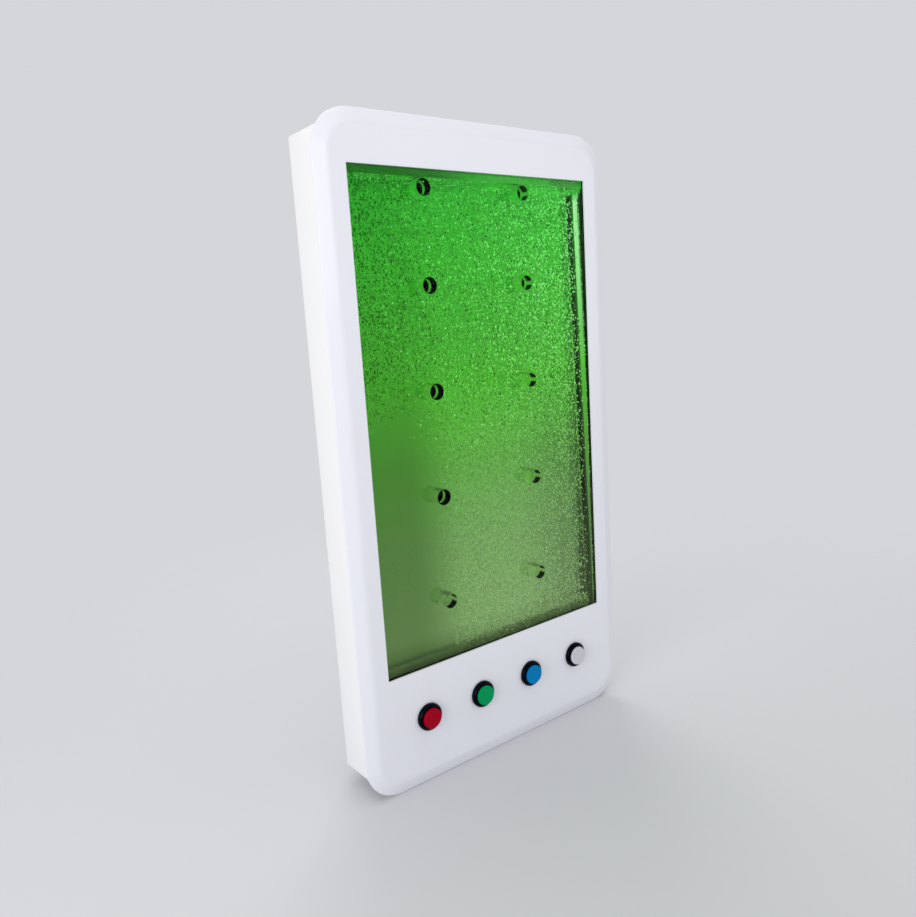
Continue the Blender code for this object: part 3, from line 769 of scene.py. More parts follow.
class MakeFascia(bpy.types.Operator):
    """Make the white front moulding with its window, rounded lip and button holes"""

    bl_idname = "bubble_panel.make_fascia"
    bl_label = "Fascia"

    def execute(self, context):
        looks = context.scene.case_looks
        rings = [fascia_outline(inset, depth, looks.corner_radius) for inset, depth in fascia_profile(looks)]
        piece = add_piece("fascia_moulding", loft(rings), moulded_abs_white(looks.moulding_colour), case,
                          ("fascia",), "fascia")
        hole = [(button_hole, -cut_reach), (button_hole, 15 * mm)]
        holes = [turn(hole, button_axis(name), (0, 1, 0), sides=48) for name in button_names]
        carve(piece, [window_tool(looks.lip_radius), pocket_tool()] + holes)
        return {"FINISHED"}


class MakeCase(bpy.types.Operator):
    """Make the lacquered case boards, the back panel and the tank's shelf"""

    bl_idname = "bubble_panel.make_case"
    bl_label = "Case boards"

    def execute(self, context):
        looks = context.scene.case_looks
        white = lacquered_mdf(looks.board_colour)
        for node in ("case_left", "case_right", "case_top", "case_bottom"):
            finish_node(node, white, looks.board_edge, "case_board", 3)
        for node in ("back_panel", "tank_shelf"):
            finish_node(node, white, 0.6 * mm, "case_board")
        return {"FINISHED"}


def sort_faces(mesh, level, choose):
    """Split a mesh at the water's level and give each face the slot that choose names."""
    shape = bmesh.new()
    shape.from_mesh(mesh)
    bmesh.ops.bisect_plane(shape, geom=shape.verts[:] + shape.edges[:] + shape.faces[:],
                           plane_co=(0, 0, level), plane_no=(0, 0, 1))
    shape.normal_update()
    for face in shape.faces:
        face.material_index = choose(face.normal, face.calc_center_median().z < level)
    shape.to_mesh(mesh)
    shape.free()
    mesh.set_sharp_from_angle(angle=sharp_turn)


class MakeTank(bpy.types.Operator):
    """Make the clear sheets, walls, base and lid, the gasket and the lit backing"""

    bl_idname = "bubble_panel.make_tank"
    bl_label = "Tank"

    def execute(self, context):
        looks = context.scene.tank_looks
        level = window_head - looks.air_gap
        dry = cast_acrylic("cast_acrylic_clear", 1.49)
        wet = cast_acrylic("cast_acrylic_wet", 1.12)
        glued = see_through("cast_acrylic_glued")
        wet_side = {"tank_front_sheet": Vector((0, 1, 0)), "tank_rear_sheet": Vector((0, -1, 0)),
                    "tank_left_wall": Vector((1, 0, 0)), "tank_right_wall": Vector((-1, 0, 0)),
                    "tank_base": Vector((0, 0, 1)), "tank_lid": Vector((0, 0, -1))}
        for node, inward in wet_side.items():
            mesh = finish_node(node, dry, 0.15 * mm, "clear_acrylic", 1).data
            mesh.materials.append(wet)
            mesh.materials.append(glued)

            def choose(normal, under, inward=inward, node=node):
                if normal.dot(inward) > 0.9:
                    return 1 if under else 0
                return 2 if "sheet" not in node and abs(normal.y) > 0.9 else 0

            sort_faces(mesh, level, choose)
        finish_node("window_gasket", shared("moulded_epdm", epdm), 0.5 * mm, "rubber")
        finish_node("reflector_sheet", backing_painted_glow(looks), 0.3 * mm, "reflector")
        self.make_joints(looks, level)
        return {"FINISHED"}

    def make_joints(self, looks, level):
        """Make each wall's lining that carries painted reflections, its black sealant strips, and the
        sealant along the foot.
        """
        black, lit = shared("cured_silicone_black", joint_sealant), painted_wall_reflection(looks)
        foot = water_floor + snug
        depth = water_back - water_front
        for side, sign in (("left", -1), ("right", 1)):
            low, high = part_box(f"tank_{side}_wall")
            gap = (water_front + 0.05 * mm, low.y - 0.05 * mm)
            add_piece(f"joint_{side}", strip((low.x, high.x), gap, (foot, level), 0.04 * mm), black)
            # A thin lining on each wall carries its painted reflections
            face = sign * (water_half - 0.05 * mm)
            lining = strip((face, face - sign * 0.3 * mm), (water_front + 0.3 * mm, water_back - 0.3 * mm),
                           (foot, lid_foot - snug), 0.05 * mm)
            add_piece(f"wall_lining_{side}", lining, lit)
            bead = strip((face - sign * 0.4 * mm, face - sign * 1.1 * mm),
                         (water_front + 0.4 * mm, water_front + 0.07 * depth),
                         (foot, level - 1 * mm), 0.3 * mm)
            add_piece(f"sealant_{side}", bead, black)
        bar_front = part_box("bubble_bar")[0].y
        bead = strip((-water_half + snug, water_half - snug), (water_front + 0.2 * mm, bar_front - 0.2 * mm),
                     (foot, foot + 1 * mm), 0.4 * mm)
        add_piece("sealant_foot", bead, black)


def strip(x_ends, y_ends, z_ends, radius):
    """Make a strip with rounded edges between pairs of places given in either order."""
    ends = (x_ends, y_ends, z_ends)
    return block([min(pair) for pair in ends], [max(pair) for pair in ends], radius)


class MakeWater(bpy.types.Operator):
    """Make the body of water with its rippled surface"""

    bl_idname = "bubble_panel.make_water"
    bl_label = "Water"

    def execute(self, context):
        half, foot = water_half - snug / 2, water_floor + snug / 2
        near, far = water_front + snug / 2, water_back - snug / 2
        level = window_head - context.scene.tank_looks.air_gap
        stations = 180
        rings = []
        for station in range(stations + 1):
            share = station / stations
            x = -half + 2 * half * share
            swell = 2.2 * mm * max(0.0, share - 0.2)
            ripple = swell * (math.sin(share * 61) + 0.6 * math.sin(share * 139 + 1.3))
            rings.append([(x, near, foot), (x, far, foot), (x, far, level + ripple),
                          (x, (near + far) / 2, level - ripple * 0.6), (x, near, level + ripple * 0.5)])
        piece = add_piece("water_body", loft(rings), see_through("clear_water_wetting"))
        piece.data.materials.append(water_surface())
        for face in piece.data.polygons:
            face.material_index = 1 if face.normal.z > 0.7 else 0
        return {"FINISHED"}


def bubble_template(subdivisions):
    """Return a unit ball's points and faces."""
    shape = bmesh.new()
    bmesh.ops.create_icosphere(shape, subdivisions=subdivisions, radius=0.5)
    points = [point.co.copy() for point in shape.verts]
    faces = [[point.index for point in face.verts] for face in shape.faces]
    shape.free()
    return points, faces


def bubble_mesh(bubbles, template):
    """Make one mesh of bubbles, each given as place, width and height."""
    points, faces = template
    all_points, all_faces = [], []
    for place, width, height in bubbles:
        start = len(all_points)
        size = Vector((width, width, height))
        all_points += [place + point * size for point in points]
        all_faces += [[start + index for index in face] for face in faces]
    mesh = bpy.data.meshes.new("bubbles")
    mesh.from_pydata(all_points, [], all_faces)
    mesh.shade_smooth()
    return mesh


def held(value, low=0.0, high=1.0):
    """Hold a number between two ends."""
    return min(high, max(low, value))


def depth_in_water(share):
    """Return the depth at a share of the way from the front sheet to the rear one, clear of both."""
    return water_front + bubble_margin + (water_back - water_front - 2 * bubble_margin) * share


class MakeBubbles(bpy.types.Operator):
    """Make the bubbles: a lit plume, a darker scatter densest at the upper left, and those on the walls;
    their lit, bright and shaded copies carry painted light, painted highlights and painted shade
    """

    bl_idname = "bubble_panel.make_bubbles"
    bl_label = "Bubbles"

    def execute(self, context):
        looks = context.scene.tank_looks
        dice = random.Random(11)
        fine, round_one = bubble_template(1), bubble_template(2)
        count = looks.bubble_count
        # Lit, shaded and bright copies of one bubble: painted light, painted shade and painted highlights
        made = {
            "bubbles_lit": (
                self.scatter(looks, dice, count, self.lit_share, 2.4) + self.foam(looks, dice), fine,
                bubble_skin("air_bubble_lit", looks, 1.9, 1.6, 0.75, 0.035)),
            "bubbles_shaded": (
                self.scatter(looks, dice, 3 * count // 5, self.shade_share, 1.7), fine,
                bubble_skin("air_bubble_shaded", looks, 0.62, 0.30, 0.8)),
            "bubbles_bright": (
                self.scatter(looks, dice, count // 2, self.bright_share, 1.2), fine,
                bubble_skin("air_bubble_bright", looks, 1.9, 2.0, 0.7, 0.12)),
            "bubbles_large": (
                self.scatter(looks, dice, count // 14, self.bright_share, 0.5), round_one,
                bubble_skin("air_bubble_large", looks, 2.1, 2.0, 0.3, 0.06)),
            "bubbles_rising": (
                self.rising(looks, dice, count // 7), fine,
                bubble_skin("air_bubble_rising", looks, 1.75, 1.75, 0.6, 0.02)),
            "bubbles_on_walls": (
                self.clinging(looks, dice), fine,
                bubble_skin("air_bubble_clinging", looks, 1.7, 1.4, 0.5, 0.24)),
        }
        for name, (bubbles, template, skin) in made.items():
            add_piece(name, bubble_mesh(bubbles, template), skin)
        return {"FINISHED"}

    def lit_share(self, across, climb):
        """Say how likely a lit bubble is at a place: everywhere high up, and only to the right low down."""
        begin = held((0.653 - climb) * 0.88, 0.0, 0.30)
        inside = held((across - begin) / 0.16) ** 2
        return inside * (0.10 + 0.90 * min(1.0, across / 0.6) ** 1.5)

    def bright_share(self, across, climb):
        """Say how likely a bubble with a painted highlight is at a place: crowded to the right, and near the
        foot.
        """
        right = (0.04 + 0.96 * across ** 3) * (0.25 + 0.75 * min(1.0, climb / 0.4))
        return self.lit_share(across, climb) * max(right, 0.6 * (1 - climb / 0.5))

    def shade_share(self, across, climb):
        """Say how likely a bubble with painted shade is at a place: crowded at the upper left."""
        corner = max(0.0, 1 - across / 0.42) * held((climb - 0.50) / 0.16)
        upper = held((climb - 0.4) / 0.2)
        return max(corner, 0.2 * upper * self.lit_share(across, climb))

    def scatter(self, looks, dice, count, share, skew):
        """Place bubbles in the water, clear of the spacer tubes; a higher skew makes more small ones."""
        level = window_head - looks.air_gap - 3 * mm
        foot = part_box("bubble_bar")[1].z + bubble_margin
        tubes = [middle_of(node) for node in spacer_nodes]
        made = []
        while len(made) < count:
            across, climb, depth, size, tall = (dice.random() for draw in range(5))
            if dice.random() > share(across, climb):
                continue
            x = (2 * across - 1) * (water_half - 3 * bubble_margin)
            z = foot + climb * (level - foot)
            if any((x - tube.x) ** 2 + (z - tube.z) ** 2 < tube_clearance ** 2 for tube in tubes):
                continue
            place = Vector((x, depth_in_water(depth), z))
            width = looks.bubble_small + (looks.bubble_large - looks.bubble_small) * size ** skew
            made.append((place, width, width * (1.05 + 0.7 * tall)))
        return made

    def foam(self, looks, dice):
        """Place the bubbles that crowd the water's surface on the right."""
        level = window_head - looks.air_gap
        made = []
        for number in range(foam_count):
            x = (water_half - bubble_margin) * (1 - 1.9 * dice.random() ** 1.6)
            heap = (looks.air_gap + 4 * mm) * held(x / (90 * mm), -0.5)
            y = depth_in_water(dice.random())
            width = looks.bubble_small + 1.6 * mm * dice.random() ** 1.5
            made.append((Vector((x, y, level + heap * dice.random())), width, width * 1.1))
        return made

    def rising(self, looks, dice, count):
        """Place the bubbles that leave the bar and spill over its front."""
        low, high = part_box("bubble_bar")
        begin = -0.35 * water_half
        made = []
        for number in range(count):
            x = begin + (water_half - bubble_margin - begin) * dice.random() ** 0.8
            y = low.y - 9 * mm + (high.y - low.y + 14 * mm) * dice.random()
            rise = 15 * mm * dice.random() ** 1.4
            z = high.z + 1.5 * mm + rise
            if y < low.y - 1.5 * mm:
                z = low.z + 3 * mm + (high.z - low.z + rise) * dice.random()
            width = looks.bubble_small + 1.2 * mm * dice.random()
            made.append((Vector((x, y, z)), width, width * (1.0 + 0.4 * dice.random())))
        return made

    def clinging(self, looks, dice):
        """Place bubbles that cling in leaning rows to the side walls."""
        level = window_head - looks.air_gap
        rows = ((0.175, 170), (0.30, 36), (0.40, 26), (0.50, 16), (0.93, 50), (0.965, 110))
        made = []
        for sign in (-1, 1):
            for share, count in rows:
                for step in range(count):
                    width = 1.2 * mm + 1.4 * mm * dice.random() ** 2
                    z = level - 4 * mm - dice.random() ** 1.5 * (level - water_floor - 40 * mm)
                    place = share - wall_lean * (z - upright_level) + 0.012 * (dice.random() - 0.5)
                    y = water_back - held(place, 0.03, 0.965) * (water_back - water_front)
                    made.append((Vector((sign * (water_half - 2.4 * mm), y, z)), width, width * 1.4))
        return made


class MakeSpacers(bpy.types.Operator):
    """Make the clear tubes that hold the tank's sheets apart, with the sleeves, collars and plugs in them
    that carry painted shade and painted light in the bores
    """

    bl_idname = "bubble_panel.make_spacers"
    bl_label = "Spacer tubes"

    def execute(self, context):
        looks = context.scene.tank_looks
        clear, wall = extruded_tube(), tube_wall_lit(looks)
        black = shared("cured_silicone_black", joint_sealant)
        # Dim, pale and half-lit copies of one bore: painted shade and painted light
        dim = tube_bore("tube_bore_dim", looks, 0.0, 0.01)
        pale = tube_bore("tube_bore_pale", looks, 1.12, 0.9)
        half_lit = tube_bore("tube_bore_half_lit", looks, 0.95, 0.02)
        for node in spacer_nodes:
            low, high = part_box(node)
            axis = ((low.x + high.x) / 2, low.y, (low.z + high.z) / 2)
            outer, length = (high.x - low.x) / 2, high.y - low.y
            seat, bore = outer - 0.8 * mm, outer - 1.6 * mm
            deep = length * 0.47
            dark = node in deep_shade_spacers
            rim = 1.2 * mm if dark else 0.5 * mm
            sleeve = [(outer - 0.1 * mm, 0), (outer - 0.1 * mm, rim - snug), (seat, rim - snug),
                      (seat, 0.68 * deep), (bore, 0.68 * deep), (bore, 0)]
            place = node.removeprefix("spacer_tube_")
            # Painted shade and light: shells carry the painted glow, dark sleeves and a black disc stand for
            # the shade deep in a bore, and a pale collar for the light on its far wall
            parts = {
                f"{node}_finished": (clear, band(outer, outer - 4 * mm, deep, length)),
                f"tube_shell_{place}": (wall, band(outer, outer - 0.5 * mm, rim, deep - snug)),
                f"tube_sleeve_{place}": (dim if dark else half_lit, sleeve),
                f"tube_collar_{place}": (pale, band(seat, bore, 0.69 * deep, deep - 1.2 * mm)),
            }
            if node in shade_disc_spacers:
                plug = band(outer - 1 * mm, 0.2 * mm, deep - 1 * mm, deep - 0.2 * mm)
                parts[f"tube_plug_{place}"] = (black, plug)
            for name, (material, profile) in parts.items():
                mesh = turn(eased(profile, 0.25 * mm), axis, (0, 1, 0), closed=True)
                if name.endswith("_finished"):
                    add_piece(name, mesh, material, case, (node,), "clear_acrylic")
                else:
                    add_piece(name, mesh, material)
        return {"FINISHED"}


class MakeButtons(bpy.types.Operator):
    """Make the push buttons: bezel, cap, nut and switch"""

    bl_idname = "bubble_panel.make_buttons"
    bl_label = "Push buttons"

    def execute(self, context):
        looks = context.scene.button_looks
        black = black_abs()
        grey = textured_abs("glass_filled_nylon_grey", "5A5D60")
        matt = textured_abs("moulded_pbt_switch", "121314")
        for name in button_names:
            axis = button_axis(name)
            self.make_bezel(name, axis, black)
            self.make_cap(name, axis, looks)
            self.make_nut(name, axis, grey)
            finish_node(f"button_switch_{name}", matt, 0.6 * mm, "black_plastic")
        return {"FINISHED"}

    def make_bezel(self, name, axis, material):
        """Make the black bezel with its chamfered front edge."""
        nose, chamfer = -10 * mm, 4 * mm
        outer, face, recess, barrel, bore = 26 * mm, 22.5 * mm, 19.3 * mm, 16 * mm, 6.3 * mm
        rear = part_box(f"button_bezel_{name}")[1].y - axis.y
        floor = nose + 5.5 * mm
        profile = [(barrel, -snug), (outer, -snug), (outer, nose + chamfer), (face, nose),
                   (recess, nose), (recess, floor), (bore, floor), (bore, rear), (barrel, rear)]
        mesh = turn(eased(profile, 0.7 * mm), axis, (0, 1, 0), closed=True, sides=96)
        add_piece(f"bezel_{name}", mesh, material, case, (f"button_bezel_{name}",), "black_plastic")

    def make_cap(self, name, axis, looks):
        """Make the coloured cap with its dished face."""
        low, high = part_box(f"button_cap_{name}")
        nose = low.y - axis.y
        radius = (high.x - low.x) / 2
        stem, skirt = 6 * mm, nose + 6 * mm
        dish = [(radius * share, nose + looks.cap_dish * (1 - (share / 0.8) ** 2))
                for share in (0.02, 0.2, 0.4, 0.6, 0.8)]
        side = eased([dish[-1], (radius, nose), (radius, skirt), (stem, skirt), (stem, high.y - axis.y)],
                     1.2 * mm, 5, closed=False)
        resin = cap_resin(f"translucent_polycarbonate_{name}", getattr(looks, name))
        mesh = turn(dish[:-1] + side, axis, (0, 1, 0), sides=96)
        add_piece(f"cap_{name}", mesh, resin, f"{name}_cap", (f"button_cap_{name}",), f"cap_{name}")

    def make_nut(self, name, axis, material):
        """Make the ring nut with its finger grips."""
        low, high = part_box(f"button_nut_{name}")
        outer = (high.x - low.x) / 2

        def grips(radius, side):
            return -1.2 * mm if radius > button_hole + 3 * mm and side % 8 in (0, 1) else 0

        profile = eased(band(outer, button_hole, low.y - axis.y, high.y - axis.y), 0.6 * mm)
        mesh = turn(profile, axis, (0, 1, 0), closed=True, sides=96, wave=grips)
        add_piece(f"ring_nut_{name}", mesh, material, case, (f"button_nut_{name}",), "grey_plastic")


class MakeRails(bpy.types.Operator):
    """Make the two hooked hanging rails"""

    bl_idname = "bubble_panel.make_rails"
    bl_label = "Hanging rails"

    def execute(self, context):
        metal = shared("anodised_aluminium_extrusion", anodised_aluminium)
        for node in ("wall_rail", "panel_rail"):
            finish_node(node, metal, 0.8 * mm, "aluminium")
        return {"FINISHED"}


class MakeServices(bpy.types.Operator):
    """Make the air side, the lamp strip, the drain, the filler and the electrical boxes"""

    bl_idname = "bubble_panel.make_services"
    bl_label = "Services"

    def execute(self, context):
        brass = shared("turned_brass", turned_brass)
        metal = shared("anodised_aluminium_extrusion", anodised_aluminium)
        looks = {
            "bubble_bar": (pvc_lit(context.scene.tank_looks), 4.5 * mm, "grey_plastic"),
            "air_fitting": (brass, 0.4 * mm, "brass"),
            "check_valve": (textured_abs("moulded_pp_grey", "8A8D8F"), 0.4 * mm, "grey_plastic"),
            "air_hose": (silicone_hose(), 0.2 * mm, "hose"),
            "air_pump": (textured_abs("spark_eroded_abs_black", "141517"), 0.4 * mm, "black_plastic"),
            "pump_mat": (shared("moulded_epdm", epdm), 0.5 * mm, "rubber"),
            "led_channel": (metal, 0.2 * mm, "aluminium"),
            "led_strip": (strip_board(), 0.1 * mm, "lamp_strip"),
            "drain_pipe": (textured_abs("upvc_grey", "6C7072"), 0.3 * mm, "grey_plastic"),
            "drain_valve": (brass, 0.5 * mm, "brass"),
            "drain_lever": (textured_abs("dipped_vinyl_red", "9C1A1E"), 0.6 * mm, "cap_red"),
            "filler_neck": (cast_acrylic("turned_acrylic_clear", 1.49), 0.4 * mm, "clear_acrylic"),
            "filler_cap": (textured_abs("moulded_pp_black", "101113"), 0.6 * mm, "black_plastic"),
            "controller": (textured_abs("moulded_abs_grey", "55585B"), 0.4 * mm, "grey_plastic"),
            "power_supply": (textured_abs("moulded_pc_black", "17181A"), 0.4 * mm, "black_plastic"),
            "power_inlet": (textured_abs("moulded_pbt_black", "131416"), 0.3 * mm, "black_plastic"),
        }
        bodies = {"drain_lever": "lever", "filler_cap": "filler"}
        for node, (material, radius, slot) in looks.items():
            finish_node(node, material, radius, slot, 2, bodies.get(node, case))
        return {"FINISHED"}


def screw(place, outward, radius, flush=False):
    """Make a screw head with a six-lobed socket: low-domed, or countersunk and flush."""
    sides = 36
    socket = 0.45 * radius
    if flush:
        rim = [(0.6 * radius, -0.4 * radius), (radius, 0.28 * radius), (radius, 0.34 * radius),
               (1.15 * socket, 0.34 * radius), (socket, 0.28 * radius)]
    else:
        rim = [(radius, 0), (radius, 0.12 * radius), (0.86 * radius, 0.32 * radius),
               (0.62 * radius, 0.46 * radius), (socket, 0.48 * radius)]

    def lobes(reach, side):
        near = 0.5 * socket < reach < 1.2 * socket
        return 0.14 * socket * math.cos(6 * math.tau * side / sides) if near else 0

    profile = rim + [(0.93 * socket, 0.08 * radius), (0.1 * socket, 0.05 * radius)]
    return turn(profile, place, outward, sides=sides, wave=lobes)


class MakeFixings(bpy.types.Operator):
    """Make the screws of the back panel, the hanging rail and the electrical boxes"""

    bl_idname = "bubble_panel.make_fixings"
    bl_label = "Screws"

    def execute(self, context):
        zinc = zinc_steel()
        low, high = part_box("back_panel")
        inset = 9 * mm
        rows = [low.z + inset + share * (high.z - low.z - 2 * inset) for share in (0, 0.2, 0.4, 0.6, 0.8, 1)]
        places = [(x, high.y, z) for x in (low.x + inset, high.x - inset) for z in rows]
        places += [(x * mm, high.y, z) for x in (-140, 0, 140) for z in (rows[0], rows[-1])]
        add_set("back_panel_screws", [screw(place, (0, 1, 0), 4 * mm) for place in places], zinc)
        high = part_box("panel_rail")[1]
        places = [(x * mm, high.y - 1.4 * mm, high.z - 20 * mm) for x in (-220, -110, 0, 110, 220)]
        add_set("panel_rail_screws", [screw(place, (0, 1, 0), 5 * mm, True) for place in places], zinc)
        for node in ("controller", "power_supply"):
            low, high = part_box(node)
            edge = 6 * mm
            places = [(x, y, high.z + 1.0 * mm) for x in (low.x + edge, high.x - edge)
                      for y in (low.y + edge, high.y - edge)]
            add_set(f"{node}_screws", [screw(place, (0, 0, 1), 2.6 * mm) for place in places], zinc)
        return {"FINISHED"}


def raised(node, start, width, edge, foot, head, radius):
    """Make a block on top of a node, placed in mm from the node's left end, its front and rear, and its top.

    Without a width it ends as far from the right end as it starts from the left.
    """
    low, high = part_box(node)
    begin = low.x + start * mm
    end = begin + width * mm if width else high.x - start * mm
    return block((begin, low.y + edge * mm, high.z + foot * mm),
                 (end, high.y - edge * mm, high.z + head * mm), radius * mm, 2)


class MakeDetails(bpy.types.Operator):
    """Make the lamps, air holes, ribs, lids, terminals, the filler cap's grip and the inlet's pin"""

    bl_idname = "bubble_panel.make_details"
    bl_label = "Small details"

    def execute(self, context):
        brass = shared("turned_brass", turned_brass)
        self.make_lamps()
        self.make_boxes()
        self.make_terminals(brass)
        low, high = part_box("bubble_bar")
        # Black rings at the air holes stand for the painted shade inside them
        hole = band(0.9 * mm, 0.5 * mm, -0.1 * mm, 0.25 * mm)
        holes = [turn(hole, (x, (low.y + high.y) / 2, high.z), closed=True, sides=16)
                 for x in even_places(low.x, high.x, 54)]
        add_set("bubble_bar_holes", holes, shared("cured_silicone_black", joint_sealant))
        self.make_cap_grip()
        middle = middle_of("power_inlet")
        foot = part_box("power_inlet")[0].z + 2.5 * mm
        pin = turn([(0.3 * mm, 0), (1.0 * mm, 0.3 * mm), (1.25 * mm, 0.9 * mm), (1.25 * mm, 11 * mm)],
                   (middle.x, middle.y, foot), sides=32)
        add_piece("inlet_pin", pin, brass)
        return {"FINISHED"}

    def make_lamps(self):
        """Make the lamp packages under the strip: a white cup and a domed phosphor in each."""
        low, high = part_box("led_strip")
        y, half = (low.y + high.y) / 2, 2.5 * mm
        dome = [(2.0 * mm, 0), (1.8 * mm, 0.2 * mm), (1.0 * mm, 0.38 * mm), (0.1 * mm, 0.42 * mm)]
        cups, domes = [], []
        for x in even_places(low.x, high.x, 28):
            cups.append(block((x - half, y - half, low.z - 1.5 * mm),
                              (x + half, y + half, low.z - 0.02 * mm), 0.3 * mm, 2))
            domes.append(turn(dome, (x, y, low.z - 1.48 * mm), (0, 0, -1), sides=24))
        add_set("led_lamp_cups", cups, textured_abs("moulded_ppa_white", "E8E8E2"))
        add_set("led_lamp_domes", domes, phosphor())

    def make_boxes(self):
        """Make the pump's ribs, the supply's louvres and the controller's raised lid."""
        ribs = [raised("air_pump", 26 + index * 9, 3, 9, -0.5, 2, 0.8) for index in range(9)]
        add_set("air_pump_ribs", ribs, textured_abs("rib_moulded_abs", "17181A"))
        louvres = [raised("power_supply", 20 + index * 7, 3, 12, 0.6, 2, 0.6) for index in range(10)]
        add_set("power_supply_lid", [raised("power_supply", 2, None, 2, -0.4, 1, 0.4)] + louvres,
                textured_abs("moulded_pc_lid", "1B1C1E"))
        panel = raised("controller", 16, None, 14, 0.6, 1.8, 0.5)
        add_set("controller_lid", [raised("controller", 2, None, 2, -0.4, 1, 0.4), panel],
                textured_abs("moulded_abs_lid", "606367"))

    def make_terminals(self, metal):
        """Make the blade terminals behind every switch."""
        for name in button_names:
            node = f"button_switch_{name}"
            middle, rear = middle_of(node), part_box(node)[1].y
            tabs = []
            for across, up in ((-8, -6), (8, -6), (-8, 6), (8, 6)):
                x, z = middle.x + across * mm, middle.z + up * mm
                tabs.append(block((x - 2.4 * mm, rear - 1 * mm, z - 0.4 * mm),
                                  (x + 2.4 * mm, rear + 8 * mm, z + 0.4 * mm), 0.25 * mm, 2))
            add_set(f"switch_terminals_{name}", tabs, metal)

    def make_cap_grip(self):
        """Make the ribbed band round the filler cap."""
        low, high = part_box("filler_cap")
        radius = (high.x - low.x) / 2
        outer, inner = radius + 0.9 * mm, radius - 0.6 * mm
        axis = ((low.x + high.x) / 2, (low.y + high.y) / 2, high.z - 9.6 * mm)

        def ribs(reach, side):
            return -0.7 * mm if reach > inner + 0.8 * mm and side % 4 in (0, 1) else 0

        profile = eased(band(outer, inner, 0, 4.2 * mm), 0.4 * mm)
        mesh = turn(profile, axis, closed=True, sides=144, wave=ribs)
        add_piece("filler_cap_grip", mesh, shared("moulded_epdm", epdm), "filler")


def even_places(start, end, count):
    """Return the middles of equal shares of a length."""
    return [start + (index + 0.5) * (end - start) / count for index in range(count)]


def background_world(colour):
    """A backdrop that the camera, gloss and glass see at full strength, over a plain soft light."""
    world = bpy.data.worlds.new("studio")
    world.use_nodes = True
    tree = world.node_tree
    tree.nodes.clear()
    path = add_node(tree, "ShaderNodeLightPath").outputs
    seen = worked("MAXIMUM", worked("MAXIMUM", path["Is Camera Ray"], path["Is Glossy Ray"]),
                  path["Is Transmission Ray"])
    soft = add_node(tree, "ShaderNodeBackground", None, {"Color": srgb("FFFFFF"), "Strength": 0.69})
    backdrop = add_node(tree, "ShaderNodeBackground", None, {"Color": colour, "Strength": 1.0})
    mixed = add_node(tree, "ShaderNodeMixShader", None,
                     {0: seen, 1: soft.outputs[0], 2: backdrop.outputs[0]})
    add_node(tree, "ShaderNodeOutputWorld", None, {"Surface": mixed.outputs[0]})
    bpy.context.scene.world = world


def floor_material():
    """Matt studio floor that fades into the backdrop away from the panel."""
    made, tree, shader = start_material("painted_studio_floor", Base_Color=srgb("D1D2D5"), Roughness=0.8,
                                        Specular_IOR_Level=0.1)
    place = add_node(tree, "ShaderNodeTexCoord")
    reach = add_node(tree, "ShaderNodeVectorMath", {"operation": "LENGTH"}, {0: place.outputs["Object"]})
    clear = add_node(tree, "ShaderNodeBsdfTransparent")
    show_mix(tree, eased_range(reach.outputs["Value"], 0.7, 2.2), shader, clear)
    return made


def add_lamp(name, place, target, size, power, spread=180):
    """Add a square soft lamp that points at a target."""
    light = bpy.data.lights.new(name, "AREA")
    light.shape = "SQUARE"
    light.size = size
    light.energy = power
    light.spread = math.radians(spread)
    lamp = bpy.data.objects.new(name, light)
    bpy.context.scene.collection.objects.link(lamp)
    lamp.location = place
    lamp.rotation_euler = (Vector(target) - Vector(place)).to_track_quat("-Z", "Y").to_euler()


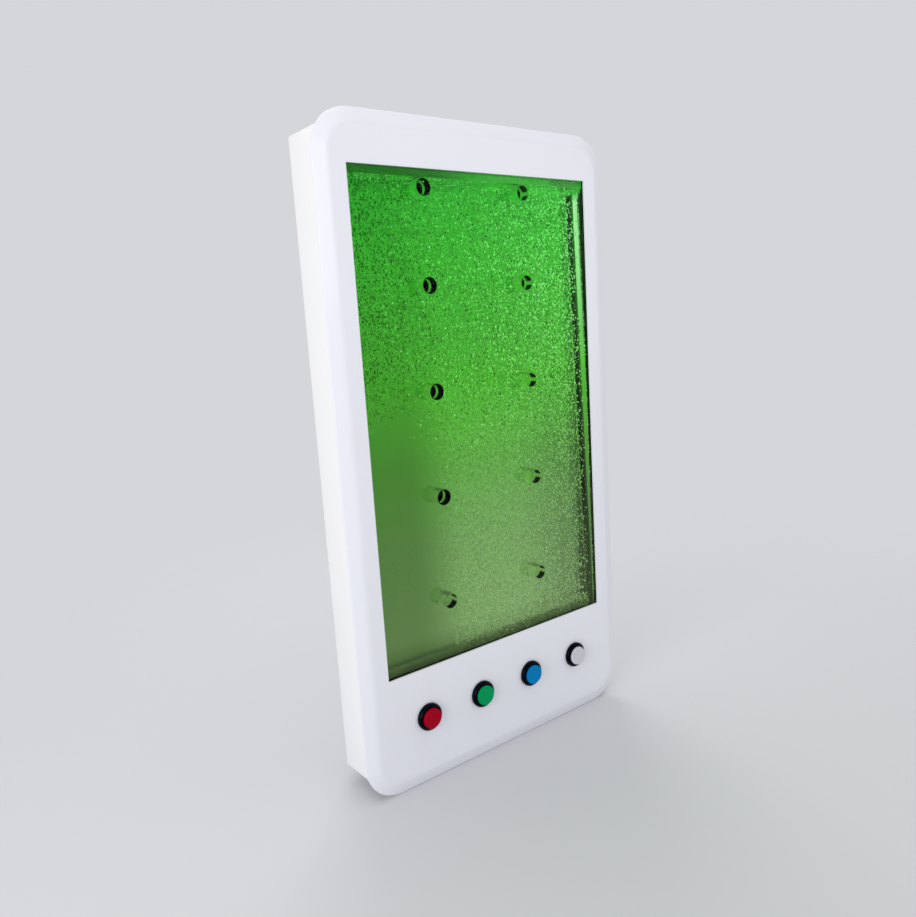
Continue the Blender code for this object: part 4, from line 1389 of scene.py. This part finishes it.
class MakeStage(bpy.types.Operator):
    """Make the camera, the pale floor, the backdrop and the soft lamps"""

    bl_idname = "bubble_panel.make_stage"
    bl_label = "Stage"

    def execute(self, context):
        looks = context.scene.stage_looks
        data = bpy.data.cameras.new("camera")
        data.lens = looks.camera_lens
        camera = bpy.data.objects.new("camera", data)
        camera.location = looks.camera_place
        camera.rotation_euler = looks.camera_turn
        context.scene.collection.objects.link(camera)
        context.scene.camera = camera
        context.scene.view_settings.view_transform = "Standard"
        background_world(looks.backdrop)
        middle, half = -0.06, 9.0
        shape = bmesh.new()
        bmesh.ops.create_grid(shape, x_segments=1, y_segments=1, size=half)
        mesh = finish_mesh(shape)
        mesh.name = "studio_floor"
        mesh.materials.append(floor_material())
        floor = bpy.data.objects.new("studio_floor", mesh)
        floor.location = (0, middle, fascia_low.z - 0.5 * mm)
        context.scene.collection.objects.link(floor)
        target = (0, middle, -0.35)
        add_lamp("left_lamp", (-3.2, -1.3, 0.2), target, 2.2, 47)
        add_lamp("front_lamp", (-0.5, -1.7, 0.35), (0.05, -0.1, 0.0), 0.9, 0.55, 80)
        add_lamp("right_lamp", (2.2, -2.8, 0.4), (0.1, -0.1, -0.2), 1.8, 1.1, 80)
        add_lamp("back_lamp", (1.5, 2.6, 1.6), target, 2.0, 35)
        add_lamp("ceiling_lamp", (0.3, -0.3, 3.4), target, 3.4, 24)
        return {"FINISHED"}


class BUBBLE_PANEL_PT_builder(bpy.types.Panel):
    """Sidebar panel that lists the operators and their settings"""

    bl_label = "Bubble Panel"
    bl_space_type = "VIEW_3D"
    bl_region_type = "UI"
    bl_category = "Bubble Panel"

    def draw(self, context):
        for operator in operators:
            self.layout.operator(operator.bl_idname)
        for group in setting_groups:
            box = self.layout.box()
            settings = getattr(context.scene, group)
            for name in settings.__annotations__:
                box.prop(settings, name)


operators = (MakeStage, MakeFascia, MakeCase, MakeTank, MakeWater, MakeSpacers, MakeBubbles,
             MakeButtons, MakeRails, MakeServices, MakeFixings, MakeDetails)
setting_groups = {"case_looks": CaseLooks, "tank_looks": TankLooks, "button_looks": ButtonLooks,
                  "stage_looks": StageLooks}


def register():
    """Register the settings, the operators and the sidebar panel."""
    for name, group in setting_groups.items():
        bpy.utils.register_class(group)
        setattr(bpy.types.Scene, name, bpy.props.PointerProperty(type=group))
    for item in (*operators, BUBBLE_PANEL_PT_builder):
        bpy.utils.register_class(item)


def unregister():
    """Take everything off again."""
    for item in (*operators, BUBBLE_PANEL_PT_builder):
        bpy.utils.unregister_class(item)
    for name, group in setting_groups.items():
        delattr(bpy.types.Scene, name)
        bpy.utils.unregister_class(group)


def main():
    """Build every piece in order."""
    register()
    for operator in operators:
        area, name = operator.bl_idname.split(".")
        getattr(getattr(bpy.ops, area), name)()


if __name__ == "__main__":
    main()
